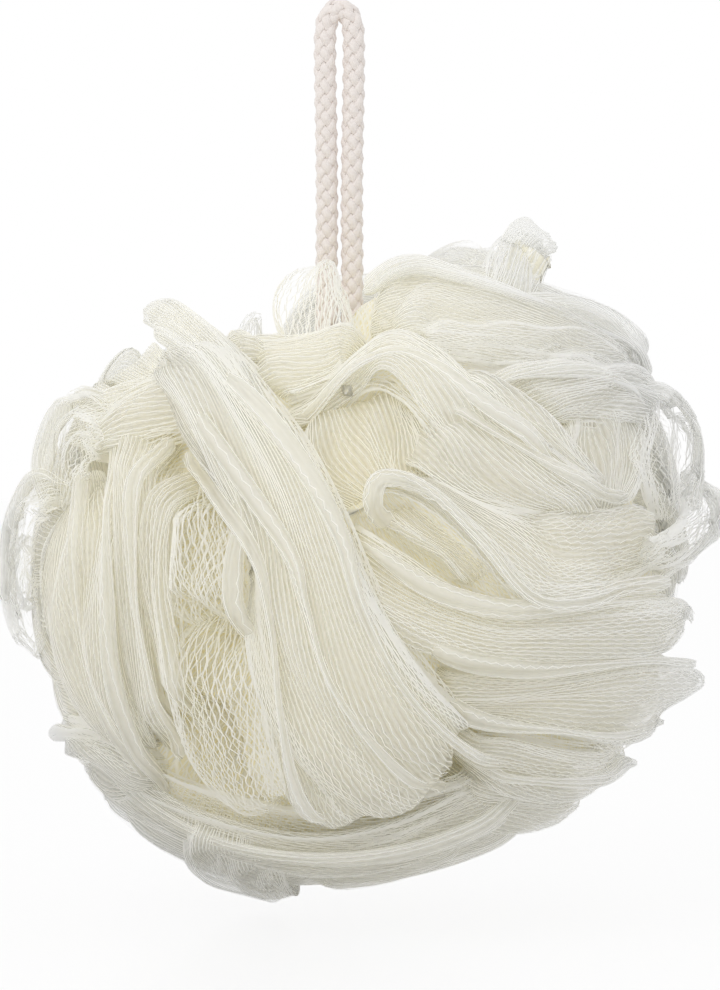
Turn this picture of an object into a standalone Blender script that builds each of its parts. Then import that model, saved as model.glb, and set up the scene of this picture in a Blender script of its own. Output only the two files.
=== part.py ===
"""Mesh bath pouf: one gathered netting, pleated into deep folds that radiate from its
waist, with broad sheets of it draped over the front, and the cord that ties the waist
and rises out of it as a hanging loop.

The origin is the point where a hook holds the loop. +Z is up and the front faces -Y.
Lengths are in metres, except in DRAPES, and an angle is in degrees where its name or
note says so.
"""

import math

import bmesh
import bpy
import numpy as np
from mathutils import Vector
from mathutils.kdtree import KDTree

# Netting ball: its radius, the depth of the folds, how far the two poles lie under the
# crests, and how far the ball hangs below the hook and beside the cord
BALL_RADIUS = 0.0655
VALLEY_DEPTH = 0.0140
POLE_DIMPLE = 0.0100
LOOP_RISE = 0.0389
CORD_SIDE_STEP = 0.0038

# Cord, the gap between its two legs, and the way it is tied
CORD_DIAMETER = 0.0044
LEG_GAP = 0.0003
WAIST_RADIUS = 0.0080
KNOT_LENGTH = 0.0110
KNOT_DIAMETER = 0.0086
KNOT_GROOVE = 0.0010
KNOT_WRAPS = 3
CLEARANCE = 0.0003

# Direction of the front pole, from which the folds spread
POLE = Vector((-0.11, -0.89, 0.44)).normalized()

# Swirl of the folds between pole and rim, the side on which it is strongest, and how
# far the crests lean, all in degrees
SWIRL = 22.0
SWIRL_SWING = 21.0
SWIRL_SIDE = 205.0
CREST_LEAN = 9.0

# How square a fold's section is, and its rippled crest
FOLD_SQUARE = 3.0
CREST_RIPPLE = 0.0012

# How much lower the folds lie in front, where the drapes cover them, and over how many
# degrees from the front
FRONT_DROP = 0.0100
FRONT_SPREAD = 48.0

# Polar angles, in degrees, over which a fold stands up and down, over which the poles
# are dimpled, over which the rim keeps its own reach, and over which it leans less
FOLD_RISE = 17.0
DIMPLE_SPREAD = 24.0
RIM_SPREAD = 35.5
UPRIGHT_SPREAD = 23.0

# Dips in the ball, where the cord comes out and on the flatter shoulder beside it:
# angle in the front view, depth, and how many degrees it spreads
CORD_DIP = (95.0, 0.0140, 15.0)
SHOULDER_DIP = (120.0, 0.0070, 26.0)

# Triangles of the netting's skin, and how often its first sphere is divided
SKIN_TRIANGLES = 10600
SKIN_DIVISIONS = 7

# Each fold: angle in the front view at which it begins, how far its crest stands out
# from the ball there, and the polar angles between which it stands up. A fold that
# starts before 0 or ends after 180 runs over the pole.
FOLDS = (
    (-3.6, 0.0010, 13, 166),
    (14.6, 0.0015, 46, 140),
    (24.0, -0.0010, 28, 168),
    (33.0, 0.0010, 12, 150),
    (45.0, 0.0000, 30, 170),
    (56.0, 0.0000, 58, 122),
    (67.0, -0.0045, 16, 164),
    (87.0, -0.0065, 34, 148),
    (98.0, -0.0070, 18, 170),
    (109.0, -0.0130, 40, 136),
    (119.0, -0.0080, -20, 158),
    (132.0, -0.0095, 22, 172),
    (142.0, -0.0030, 30, 150),
    (161.0, -0.0020, 24, 166),
    (173.0, 0.0000, 38, 142),
    (185.0, 0.0005, 26, 170),
    (201.0, -0.0030, 40, 152),
    (214.0, -0.0010, 22, 164),
    (229.0, 0.0010, 36, 138),
    (245.0, 0.0028, 18, 171),
    (261.0, -0.0030, 30, 150),
    (277.0, -0.0060, 12, 200),
    (293.0, -0.0080, -20, 156),
    (308.0, -0.0075, 14, 168),
    (320.0, -0.0065, 44, 146),
    (330.0, 0.0000, 20, 162),
    (345.0, -0.0040, 52, 134),
)

# Sheets of netting draped over the front, each a flattened tube. A sheet's lines run
# along its strands. Their points are millimetres right of and above the ball's middle
# as seen from the front. A lift for each line is how many millimetres it stands out of
# a dome of the given radius, and the tucks are how deep the sheet's two ends go down.
DOME_RADIUS = 0.0650
DRAPES = {
    "sweep": {
        "lifts": (3.0, 3.0, 2.5, 2.0, 1.5, 1.0, 0),
        "tucks": (6, 16),
        "skew": 0.12,
        "thick": 2.0,
        "lines": (
            ((-36, 49.5), (-26, 43.5), (-18, 34.5), (-10, 23.5), (-4, 11), (2, -3), (9.5, -15.5),
             (17, -24), (28, -28)),
            ((-38, 50), (-28, 41), (-20, 30.5), (-12.5, 19), (-7, 6.5), (-1, -7.5), (6, -19),
             (14.5, -27.5), (26, -34)),
            ((-38.3, 48.5), (-30, 38), (-22, 26.5), (-15, 14.5), (-10, 2), (-4.5, -11), (3, -23),
             (12, -32), (23, -39)),
            ((-38.5, 45.5), (-32, 34.5), (-24, 22.5), (-17, 11), (-13, -1), (-8, -14), (-0.5, -27),
             (9, -37), (19.5, -44)),
            ((-41, 39.5), (-32, 30.5), (-24.5, 19.5), (-18.3, 9.5), (-15.5, -3), (-11.5, -16),
             (-5, -29), (3, -40), (11, -47)),
            ((-33, 28), (-26, 21), (-20.5, 13.5), (-18.5, 6), (-17.5, -5), (-14.5, -18),
             (-9.5, -31), (-3, -42), (4, -50)),
            ((-24, 19), (-21, 13), (-19.3, 7.5), (-19, 1), (-19, -8), (-17, -19), (-13.5, -31),
             (-9.5, -42), (-6, -50)),
        ),
    },
    "leaf": {
        "lifts": (0, 1, 2, 2, 1.5),
        "skew": 0.16,
        "open": 0.85,
        "thick": 2.0,
        "lines": (
            ((-34.5, -2), (-35.5, -12), (-34, -22), (-31.5, -32), (-28, -39), (-23, -44),
             (-16, -45)),
            ((-31, -4), (-31.5, -13), (-30, -23), (-27.5, -32), (-24.5, -38.5), (-20, -43),
             (-15, -44)),
            ((-27, -6), (-27, -15), (-25.5, -24), (-23, -32), (-20.5, -38), (-17.5, -41.5),
             (-14.5, -43)),
            ((-23, -7), (-22, -15), (-20.5, -24), (-18.5, -32), (-17, -37.5), (-15.5, -40.5),
             (-13.8, -42)),
            ((-19.5, -6), (-18.3, -14), (-16, -24), (-14.5, -32), (-13.6, -37), (-12.8, -40),
             (-12.6, -41.5)),
        ),
    },
    "cup_back": {
        "lifts": (-2, -6, -7, -4),
        "open": 0.8,
        "lines": (
            ((-33, 23), (-34, 16), (-34.5, 8), (-34.5, 0), (-34, -6), (-33, -12)),
            ((-30, 25.5), (-30, 17), (-30, 8), (-30, 0), (-29.5, -6), (-28, -12)),
            ((-26, 25), (-25.5, 17), (-25, 8), (-25, 0), (-24.5, -6), (-23, -12)),
            ((-21, 18), (-19.5, 13), (-18.5, 6), (-18.5, -1), (-19, -7), (-18, -13)),
        ),
    },
    "cup_petal": {
        "lifts": (1, 0.5, 0.5, 1.5),
        "open": 0.8,
        "lines": (
            ((-33.5, 20), (-34, 14), (-34, 8), (-34, 3), (-34, -1), (-33, -6)),
            ((-31, 19), (-31, 13), (-31, 7), (-31, 2), (-30.5, -2), (-29.5, -7)),
            ((-27, 17.5), (-26.5, 13), (-26.5, 8), (-27, 3), (-27, -2), (-26, -8)),
            ((-23.5, 14), (-22, 10.5), (-21, 6), (-21, 1.5), (-21, -3), (-20.5, -8)),
        ),
    },
    "bright_roll": {
        "lifts": (-1, 1.5, 1.5, -1),
        "open": 0.3,
        "thick": 4.0,
        "lines": (
            ((-33, 25), (-37, 18), (-39, 9), (-39.3, -1), (-38, -11), (-36.5, -21), (-34, -32)),
            ((-32, 24), (-35.5, 17), (-37.5, 9), (-37.8, -1), (-36.5, -11), (-35, -21),
             (-32.8, -32)),
            ((-31, 23), (-34, 16), (-35.8, 9), (-36, -1), (-35, -11), (-33.5, -21), (-31.5, -32)),
            ((-30, 22), (-32.5, 15), (-34, 9), (-34, -1), (-33.5, -11), (-32, -21), (-30.3, -32)),
        ),
    },
    "tall_fold": {
        "lifts": (-2, 0.5, 0.5, -2),
        "open": 0.3,
        "lines": (
            ((-44.5, 27), (-44.5, 20), (-44, 10), (-43.5, 0), (-43, -12), (-41.5, -24),
             (-38, -35)),
            ((-43, 30.5), (-42.5, 21), (-42, 10), (-42, 0), (-41.5, -12), (-40, -24), (-37, -35)),
            ((-39.5, 31.5), (-40, 21), (-40, 10), (-40.3, 0), (-40, -12), (-38.5, -24),
             (-36, -35)),
            ((-35, 30), (-37, 21), (-38.5, 11), (-39, 0), (-38.5, -12), (-37, -24), (-35, -35)),
        ),
    },
    "left_panel": {
        "lifts": (-2, 0, 0.5, 0, -1.5),
        "open": 0.6,
        "thick": 2.0,
        "lines": (
            ((-55, 13), (-57.5, 6), (-59, -3), (-58.5, -12), (-55.5, -21), (-49.5, -28.5),
             (-41, -34.5)),
            ((-53, 17), (-54, 7), (-55, -3), (-54.5, -12), (-51.5, -21), (-46.5, -28.5),
             (-39.5, -35)),
            ((-50, 19.5), (-50, 8), (-50.5, -3), (-50, -12), (-48, -21), (-44, -29), (-38, -35.5)),
            ((-47, 21), (-46.5, 9), (-46.5, -3), (-46, -12), (-44.5, -21), (-41.5, -29),
             (-36.5, -36)),
            ((-44.5, 21), (-43.5, 9), (-43, -3), (-42.5, -12), (-41.5, -21), (-39, -29),
             (-35, -36.5)),
        ),
    },
    "left_lobe_high": {
        "lifts": (-6, 0, 1, 0),
        "open": 0.95,
        "lines": (
            ((-46, 33.5), (-51, 35), (-56, 31.5), (-59, 26), (-59.3, 20), (-57, 15)),
            ((-46.5, 31), (-50, 31.5), (-53.5, 28.5), (-55.5, 24), (-56, 19), (-55, 14)),
            ((-47, 28.5), (-49, 28), (-51, 25.5), (-52.5, 22), (-53, 18), (-53, 14)),
            ((-47.5, 26), (-48, 25), (-49, 23), (-50, 20), (-50.5, 17), (-51, 14)),
        ),
    },
    "left_lobe_middle": {
        "lifts": (-4, 0, 0),
        "open": 0.9,
        "lines": (
            ((-57, 18.5), (-61, 18), (-64.5, 14.5), (-66.5, 9), (-67.5, 3), (-68, -3)),
            ((-57, 15), (-60, 14.5), (-62.5, 11.5), (-64, 7), (-64.5, 2), (-65, -3)),
            ((-57, 11.5), (-58.5, 10.5), (-60, 8.5), (-61, 5), (-61.5, 1), (-61.5, -3)),
        ),
    },
    "left_lobe_low": {
        "lifts": (-2, 0, 0),
        "open": 0.9,
        "lines": (
            ((-67.5, 6), (-69.3, -1), (-69.3, -6), (-67.5, -13), (-64, -19)),
            ((-64.5, 6), (-66, -1), (-66, -6), (-64.5, -12), (-61.5, -18)),
            ((-61.5, 5), (-62.5, -1), (-62.5, -6), (-61.5, -12), (-59, -17)),
        ),
    },
    "small_lobe": {
        "lifts": (-6, -4, -3),
        "lines": (
            ((-25, 44.5), (-23, 46.3), (-20, 46.5), (-17, 44.8)),
            ((-24, 42), (-22, 43), (-20, 43), (-18, 42)),
            ((-23, 39), (-21.5, 39.5), (-20, 39.5), (-18.5, 39)),
        ),
    },
    "saddle": {
        "lifts": (-4, -2, -1),
        "lines": (
            ((-26, 43), (-20, 44.5), (-14, 45), (-8, 46), (-2, 47.5), (2, 46)),
            ((-22, 38), (-17, 39.5), (-12, 40), (-7, 41), (-3, 43), (1, 43.5)),
            ((-18, 34), (-14, 35), (-10, 36.5), (-5, 38.5), (-2, 40.5), (1, 41)),
        ),
    },
    "front_lobe": {
        "lifts": (-10, -7, -6, -7, -10),
        "lines": (
            ((-14, 45), (-15.5, 49), (-14.5, 53.5), (-11.5, 57), (-8, 58.8)),
            ((-11, 45.5), (-12, 49.5), (-11, 53), (-9.5, 56), (-7.5, 58.3)),
            ((-7.5, 46), (-8, 50), (-7.5, 53), (-7, 56), (-6.5, 58)),
            ((-4, 47), (-4.5, 50), (-4.5, 53), (-4.8, 55.5), (-5.5, 57.5)),
            ((-0.5, 49), (-1, 51), (-1.8, 53.5), (-3, 55.5), (-4.8, 57.2)),
        ),
    },
    "top_sheet": {
        "lifts": (-10, -4, -1, 0, -2),
        "skew": 0.06,
        "thick": 2.0,
        "lines": (
            ((0, 50), (3, 56), (9, 59.5), (17, 58), (26, 57), (34, 54), (43, 51), (51, 47.5),
             (57, 43), (58, 38)),
            ((1, 48.5), (5, 53), (11, 55.5), (18, 54.5), (26, 53), (34, 51), (42, 48), (49, 45),
             (54, 41.5), (56, 37.5)),
            ((2, 47), (7, 49.5), (13, 51), (20, 50), (27, 49), (34, 47), (41, 45), (47, 42.5),
             (51.5, 40), (54, 37)),
            ((3, 46), (9, 46.5), (15, 46), (21, 45), (28, 44), (34, 43), (40, 41.5), (45.5, 40),
             (50, 38.5), (53, 36.5)),
            ((5, 44), (12, 42.5), (17, 41), (23, 40), (29, 39.5), (35, 39), (40, 38.5), (45, 38),
             (49, 37), (52, 36)),
        ),
    },
    "top_knob": {
        "lifts": (0, 1, 1, 0),
        "tucks": (10, 2),
        "lines": (
            ((25, 57), (26.5, 61), (29, 65), (32, 66.3)),
            ((28, 56), (29.5, 60), (31, 64), (33.5, 65.7)),
            ((31.5, 55), (33, 59), (34.5, 62.5), (36, 64)),
            ((34, 54.5), (36, 57.5), (38.5, 60), (39, 61)),
        ),
    },
    "arch_band": {
        "lifts": (1.5, 2.0, 2.0, 2.5),
        "tucks": (10, 16),
        "skew": 0.08,
        "thick": 2.0,
        "lines": (
            ((-18, 34.5), (-9, 37.5), (0, 43), (7, 46), (14, 43.5), (20, 39), (27, 34), (33, 29)),
            ((-17, 33), (-8, 36.5), (0, 41.5), (6, 44), (12, 41.5), (17, 37), (23, 32),
             (29, 27.5)),
            ((-16, 31.5), (-7, 35.5), (0, 40), (5, 41.5), (10, 39), (14.5, 34.5), (20, 29.5),
             (26, 25)),
            ((-14, 30), (-6, 34.8), (0, 38), (4.5, 39), (8.5, 36.5), (12, 32), (17, 27), (23, 23)),
        ),
    },
    "shoulder": {
        "lifts": (1.0, 0.5, 0, -0.5, -1.5),
        "tucks": (10, 14),
        "skew": 0.05,
        "thick": 2.0,
        "lines": (
            ((14, 43), (20, 39), (27, 34.5), (34, 29), (40, 23), (46, 18), (54, 14)),
            ((12, 40), (18, 34.5), (24, 29), (30, 24), (37, 19), (44, 15.5), (52, 13)),
            ((11, 36), (16, 30.5), (21, 25.5), (27, 21), (34, 17), (42, 14), (50, 12.5)),
            ((8, 33), (13, 27.5), (18, 22.5), (24, 18.5), (31, 15.5), (39, 13.2), (48, 12)),
            ((5, 29), (9, 24.5), (14, 20.5), (20, 16.5), (27, 14), (35, 12.5), (45, 11.5)),
        ),
    },
    "pocket_back": {
        "lifts": (-3, -5, -6, -5, -3),
        "lines": (
            ((-13, 33), (-11, 27), (-8, 20), (-4, 14), (0, 9)),
            ((-7, 37), (-5, 30), (-3, 23), (0, 17), (4, 12)),
            ((0, 40), (2, 32), (4, 25), (6, 20), (10, 15)),
            ((7, 39), (8, 32), (10, 26), (13, 20), (17, 15)),
            ((13, 34), (14, 28), (17, 22), (21, 17), (25, 12)),
        ),
    },
    "right_tongue_high": {
        "lifts": (0, 1, -1, -4),
        "thick": 2.0,
        "lines": (
            ((24, 35), (33, 38.5), (43, 39.8), (51, 38.8), (57, 36)),
            ((26, 33.5), (34, 36), (43, 37), (51, 36), (57.5, 33)),
            ((29, 31.5), (36, 33), (44, 33.5), (51, 32.5), (57.5, 30.5)),
            ((32, 29), (38, 29.5), (45, 29.5), (52, 29), (57, 28)),
        ),
    },
    "right_pocket": {
        "lifts": (-6, -8, -8, -6),
        "lines": (
            ((37, 27), (37, 22), (37, 16)),
            ((41, 29), (41, 22), (41, 15)),
            ((46, 30), (46, 23), (46, 16)),
            ((52, 29), (51, 22), (50, 15)),
        ),
    },
    "right_lobe": {
        "lifts": (-3, -1, -1, -4, -6),
        "open": 0.9,
        "lines": (
            ((50, 27), (50, 22), (50, 17), (51, 13)),
            ((54, 28), (55, 23), (55, 18), (55, 13)),
            ((57.5, 29), (59.5, 24), (60, 18), (59, 13)),
            ((59.5, 29.7), (63, 24.5), (64, 18.5), (63, 13)),
            ((61, 29.5), (65, 24.5), (66, 18.5), (64.5, 12.5)),
        ),
    },
    "right_lobe_low": {
        "lifts": (-5, -1, 0, -3),
        "open": 0.9,
        "lines": (
            ((66, 17.5), (69, 14), (69.5, 9), (66.5, 4), (61, 0), (54, -2.5)),
            ((64, 15.5), (66, 12.5), (66, 9), (63, 5.5), (58, 2.5), (52, 0)),
            ((62, 13.5), (63, 11.5), (62.5, 9), (59.5, 6.5), (55.5, 5), (50, 3)),
            ((60, 11.5), (60, 10.5), (59, 9), (56.5, 8), (53, 7), (48, 6)),
        ),
    },
    "winding_ridge": {
        "lifts": (3.0, 2.0, -0.5, -1.0),
        "open": 0.7,
        "thick": 2.0,
        "lines": (
            ((3, 16.5), (4.5, 19.8), (10, 18.7), (16, 14.8), (22, 9), (27.5, 2.5), (31.5, -1.8),
             (38, -2.5), (47, -1.3), (55, -1.5)),
            ((5, 18), (7, 20.3), (12, 18.6), (18, 14.5), (24, 9.5), (30, 4.5), (34.5, 1.8),
             (40, 1.5), (48, 2), (55, 1.5)),
            ((7, 19), (9, 20.3), (14, 18.3), (20, 14.5), (26.5, 11), (33, 8), (37.5, 6.5),
             (42.5, 6), (49, 6), (56, 5.5)),
            ((9, 19.5), (11, 20), (16, 18), (22, 14.8), (29, 13), (36, 12.5), (40, 12.5), (45, 12),
             (51, 12), (58, 11.5)),
        ),
    },
    "ridge_rim": {
        "lifts": (3.0, 4.5, 3.0),
        "tucks": (5, 8),
        "open": 0.3,
        "thick": 2.6,
        "lines": (
            ((4.5, 13), (1.8, 16), (3.3, 20.2), (8.5, 20.3), (14, 17.8), (19.5, 13.5), (25, 8),
             (29.5, 2.3), (34, -1.2), (40, -1.2), (48, 0.2), (57, 0)),
            ((5, 13.2), (2.8, 16), (4, 19.3), (8.3, 19.2), (13.5, 16.6), (18.5, 12.2), (23.8, 6.8),
             (28.3, 1.2), (33.5, -2.4), (40, -2.6), (48, -1.2), (57, -1.2)),
            ((5.6, 13.5), (3.8, 16), (4.7, 18.4), (8, 18), (13, 15.4), (17.5, 11), (22.5, 5.6),
             (27.2, 0.2), (33, -3.6), (40, -4), (48, -2.6), (57, -2.4)),
        ),
    },
    "ridge_pocket": {
        "lifts": (0.5, -2.5, -3),
        "lines": (
            ((4, 16), (5, 12), (10, 8.5), (15.5, 5.5), (20, 1), (25, -3.5)),
            ((6.5, 17), (9.5, 13), (13.5, 9.8), (18, 7), (22.5, 2.5), (28, -2.5)),
            ((9.5, 18), (13, 14.5), (17, 11), (21, 7.5), (25, 2.5), (30, -2)),
        ),
    },
    "right_tongue_middle": {
        "lifts": (-1.5, -0.5, 0, 1),
        "skew": 0.05,
        "thick": 2.0,
        "lines": (
            ((-5, 16), (2, 9), (9, 4.5), (17, -0.5), (26, -4), (36, -4.5), (46, -4), (55, -4.5),
             (61, -6)),
            ((-6, 12), (1, 5), (8, 0.5), (16, -3.5), (25, -6.5), (35, -7), (46, -7), (56, -7.5),
             (63, -8.5)),
            ((-6, 8.5), (-0.5, 1.5), (7, -3.5), (15, -7), (24, -9.5), (34, -10), (45, -10.5),
             (55, -11), (63.5, -11)),
            ((-5, 5), (0, -2.5), (6, -8), (13, -11), (22, -13), (33, -13.3), (45, -13.6),
             (54, -14.2), (61.5, -14)),
        ),
    },
    "right_tongue_low": {
        "lifts": (-4, -2, -2, -2),
        "thick": 2.0,
        "lines": (
            ((11, -14), (18, -16), (27, -16.5), (38, -16), (48, -15.5), (55, -16), (59, -19.5)),
            ((12, -17), (19, -19), (28, -19.5), (38, -19.5), (48, -19), (57, -20), (65, -22.8)),
            ((13.5, -20), (20, -22), (28, -22.5), (38, -23), (48, -24), (56, -24.5), (63.5, -25)),
            ((15.5, -23.5), (21, -25), (29, -26), (37, -28), (45, -31), (50, -33), (58, -30)),
        ),
    },
    "right_tongue_base": {
        "lifts": (-2, -1.5, -2, -3),
        "lines": (
            ((20, -28.5), (27, -29), (34, -31), (41, -33.5), (47, -34.5), (50, -34.5)),
            ((21, -31), (27.5, -32.5), (34, -34.5), (40.5, -36), (46, -36.3), (49, -35.8)),
            ((22, -33.5), (27.5, -36), (33, -38), (38, -39), (43, -38.8), (47, -37.5)),
            ((23, -35.5), (27.5, -38.5), (32, -40), (36, -40.8), (40, -40.5), (44, -39.5)),
        ),
    },
    "small_tongue": {
        "lifts": (-5, -5, -6),
        "lines": (
            ((25, -38), (31, -41), (36, -42.5), (40.5, -42)),
            ((24, -40.5), (30, -43.5), (35, -45), (39.5, -44)),
            ((22, -43), (28, -46), (32, -47), (36, -46.3)),
        ),
    },
    "left_tip": {
        "lifts": (-4, -2, -2, -4),
        "lines": (
            ((-60.5, -31.8), (-55, -29.8), (-49, -29.5), (-42, -33), (-34, -37)),
            ((-60, -33), (-55, -32.5), (-49, -34), (-42, -37), (-34, -37.8)),
            ((-59, -34.3), (-54.5, -36), (-49, -40), (-43, -41), (-34, -38.6)),
            ((-57, -35), (-52, -39), (-47.5, -44), (-42, -43.5), (-34, -39.5)),
        ),
    },
    "bottom_left": {
        "lifts": (-3, -1, -1, -4),
        "thick": 2.0,
        "lines": (
            ((-34, -39), (-35, -47), (-34.5, -54), (-31.5, -60), (-24, -65.5)),
            ((-29, -42), (-29.5, -49), (-28, -55), (-25, -61), (-19, -66)),
            ((-23, -45.5), (-23.5, -51), (-21.5, -56.5), (-18.5, -61.5), (-14, -65.5)),
            ((-15, -47), (-16, -52), (-15, -57), (-13, -61), (-9, -64.5)),
        ),
    },
    "bottom_middle": {
        "lifts": (-5, -3, -3, -6),
        "thick": 2.0,
        "lines": (
            ((-12, -48), (-3, -49.5), (6, -48), (14, -45.5), (21, -43)),
            ((-12, -53), (-3, -54), (6, -53), (14, -50.5), (22, -48)),
            ((-12, -58), (-3, -58.5), (6, -57), (14, -55), (22, -53.5)),
            ((-12, -62), (-3, -61.5), (6, -59.3), (15, -58), (22, -57)),
        ),
    },
}

# Length and depth of a plain tuck, the rounding of a sheet's edges, and the step between
# the places at which a sheet is worked out
TUCK_LENGTH = 0.0130
TUCK_DEPTH = 12
SHORT_DRAPE = 0.0350
SHEET_EDGE = 0.0032
SHEET_STEP = 0.0020

NETTING_COLOUR = (0.93, 0.91, 0.80, 1.0)
CORD_COLOUR = (0.88, 0.83, 0.79, 1.0)
NETTING_ROUGHNESS = 0.55
CORD_ROUGHNESS = 0.80

CENTRE = Vector((CORD_SIDE_STEP, 0.0, -(LOOP_RISE + BALL_RADIUS)))
ACROSS = (Vector((1, 0, 0)) - POLE.x * POLE).normalized()
UPWARD = POLE.cross(ACROSS)

# The loop's route over the hook, from the left leg to the right one, chosen by hand
LOOP_ROUTE = (
    (-0.00245, 0.0000, -0.0480),
    (-0.00240, 0.0001, -0.0400),
    (-0.00242, 0.0001, -0.0320),
    (-0.00250, 0.0000, -0.0230),
    (-0.00265, -0.0001, -0.0140),
    (-0.00275, -0.0001, -0.0070),
    (-0.00265, 0.0000, -0.0020),
    (-0.00190, 0.0000, 0.0008),
    (0.00000, 0.0000, 0.0022),
    (0.00190, 0.0000, 0.0008),
    (0.00265, 0.0000, -0.0020),
    (0.00275, 0.0001, -0.0070),
    (0.00270, 0.0001, -0.0140),
    (0.00250, 0.0000, -0.0230),
    (0.00240, -0.0001, -0.0320),
    (0.00240, 0.0000, -0.0400),
    (0.00245, 0.0001, -0.0480),
)
ROUTE_STEP = CORD_DIAMETER / 2


def clear_scene():
    for obj in list(bpy.data.objects):
        bpy.data.objects.remove(obj, do_unlink=True)


def new_collection(name):
    collection = bpy.data.collections.new(name)
    bpy.context.scene.collection.children.link(collection)
    return collection


def principled(name, colour, roughness):
    material = bpy.data.materials.new(name)
    material.use_nodes = True
    shader = material.node_tree.nodes["Principled BSDF"]
    shader.inputs["Base Color"].default_value = colour
    shader.inputs["Roughness"].default_value = roughness
    shader.inputs["Metallic"].default_value = 0.0
    return material


def mesh_object(name, mesh, collection, material=None):
    obj = bpy.data.objects.new(name, mesh)
    collection.objects.link(obj)
    if material:
        mesh.materials.append(material)
    return obj


# Netting: a sphere pushed out to the folds and to the drapes over them


def smooth_step(value):
    value = np.clip(value, 0.0, 1.0)
    return value * value * (3.0 - 2.0 * value)


def bell(offset, spread_degrees):
    """1 where the offset, in radians, is 0, and fading out over the given spread."""
    return np.exp(-((offset / math.radians(spread_degrees)) ** 2))


def unit(vectors):
    return vectors / np.linalg.norm(vectors, axis=-1, keepdims=True)


def seen_direction(view_angle):
    """Direction from the ball's centre at an angle of the front view, in its plane."""
    turn = math.radians(view_angle)
    return np.array((math.cos(turn), 0.0, math.sin(turn)))


def angle_from(directions, middle):
    return np.arccos(np.clip(directions @ middle, -1.0, 1.0))


def azimuth_of(view_angle):
    """Azimuth about the pole axis of a direction of the front view."""
    seen = seen_direction(view_angle)
    return math.atan2(seen @ np.array(UPWARD), seen @ np.array(ACROSS))


def rim_angle(azimuth):
    """Polar angle at which a meridian crosses the plane of the front view."""
    outward = np.cos(azimuth) * ACROSS.y + np.sin(azimuth) * UPWARD.y
    return np.arctan2(-POLE.y, outward)


def rings_at(polar):
    """How far up each fold stands at each polar angle, its crest's azimuth and half room."""
    begins = np.unwrap([azimuth_of(fold[0]) for fold in FOLDS])
    room = np.diff(np.append(begins, begins[0] + 2 * math.pi))
    middle = begins + room / 2
    starts = np.radians([fold[2] for fold in FOLDS])
    ends = np.radians([fold[3] for fold in FOLDS])
    rise = math.radians(FOLD_RISE)
    polar = polar[:, None]
    height = smooth_step((polar - starts) / rise) * smooth_step((ends - polar) / rise)
    # A fold that lies down makes room for those that stand.
    flat_room = 0.22
    room = room * (flat_room + (1 - flat_room) * height)
    room = room * 2 * math.pi / room.sum(axis=1, keepdims=True)
    crest = np.cumsum(room, axis=1) - room / 2
    crest += np.sum(room * (middle - crest), axis=1, keepdims=True) / (2 * math.pi)
    return height, crest, room / 2


def turned(polar, azimuth):
    """Azimuth after the crests' lean and the swirl that every fold follows to the rim."""
    sway = np.sin(2 * azimuth + 2.6 * polar + 0.7) + 0.7 * np.sin(3 * azimuth - 1.9 * polar)
    rim = rim_angle(azimuth)
    upright = 0.8 * bell(polar - rim, UPRIGHT_SPREAD)
    lean = math.radians(CREST_LEAN) * sway * (1 - upright)
    side = np.cos(azimuth - math.radians(SWIRL_SIDE))
    amount = math.radians(SWIRL) + math.radians(SWIRL_SWING) * side
    return azimuth + lean + amount * (polar - rim) / rim


def unturned(polar, azimuth):
    """Azimuth in the ring of folds that ends up at the given one, found by trying."""
    start = azimuth
    for _ in range(14):
        start = start + 0.7 * (azimuth - turned(polar, start))
    return start


def fold_reach(directions):
    """How far the folds reach from the ball's centre, in each direction."""
    polar = angle_from(directions, np.array(POLE))
    azimuth = np.arctan2(directions @ np.array(UPWARD), directions @ np.array(ACROSS))
    height, crest, half_room = rings_at(polar)
    offset = unturned(polar, azimuth)[:, None] - crest
    offset = (offset + math.pi) % (2 * math.pi) - math.pi
    nearest = np.argmin(np.abs(offset) / half_room, axis=1)
    rows = np.arange(len(polar))
    share = np.clip(np.abs(offset) / half_room, 0.0, 1.0)[rows, nearest]
    rise = height[rows, nearest] * (1.0 - share**FOLD_SQUARE) ** (1.0 / FOLD_SQUARE)
    near_pole = bell(polar, DIMPLE_SPREAD) + bell(math.pi - polar, DIMPLE_SPREAD)
    floor = BALL_RADIUS - VALLEY_DEPTH + (VALLEY_DEPTH - POLE_DIMPLE) * near_pole
    stands_out = np.array([fold[1] for fold in FOLDS])[nearest]
    ripple = CREST_RIPPLE * np.sin(9.0 * polar + 2.4 * nearest)
    top = BALL_RADIUS + stands_out * bell(polar - rim_angle(azimuth), RIM_SPREAD) + ripple
    for view_angle, depth, spread in (CORD_DIP, SHOULDER_DIP):
        top = top - depth * bell(angle_from(directions, seen_direction(view_angle)), spread)
    top = top - FRONT_DROP * bell(angle_from(directions, np.array((0.0, -1.0, 0.0))), FRONT_SPREAD)
    return floor + np.maximum(top - floor, 0.0) * rise


def spline_through(knots, count):
    """Count points on a smooth curve through the knots, along the first axis."""
    ahead = 2 * knots[:1] - knots[1:2]
    behind = 2 * knots[-1:] - knots[-2:-1]
    padded = np.concatenate((ahead, knots, behind))
    places = np.linspace(0, len(knots) - 1, count)
    first = np.minimum(places.astype(int), len(knots) - 2)
    t = (places - first).reshape((-1,) + (1,) * (knots.ndim - 1))
    before, start, end, after = (padded[first + shift] for shift in range(4))
    curved = 2 * before - 5 * start + 4 * end - after
    cubed = 3 * start - before - 3 * end + after
    return start + 0.5 * ((end - before) * t + curved * t**2 + cubed * t**3)


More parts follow.
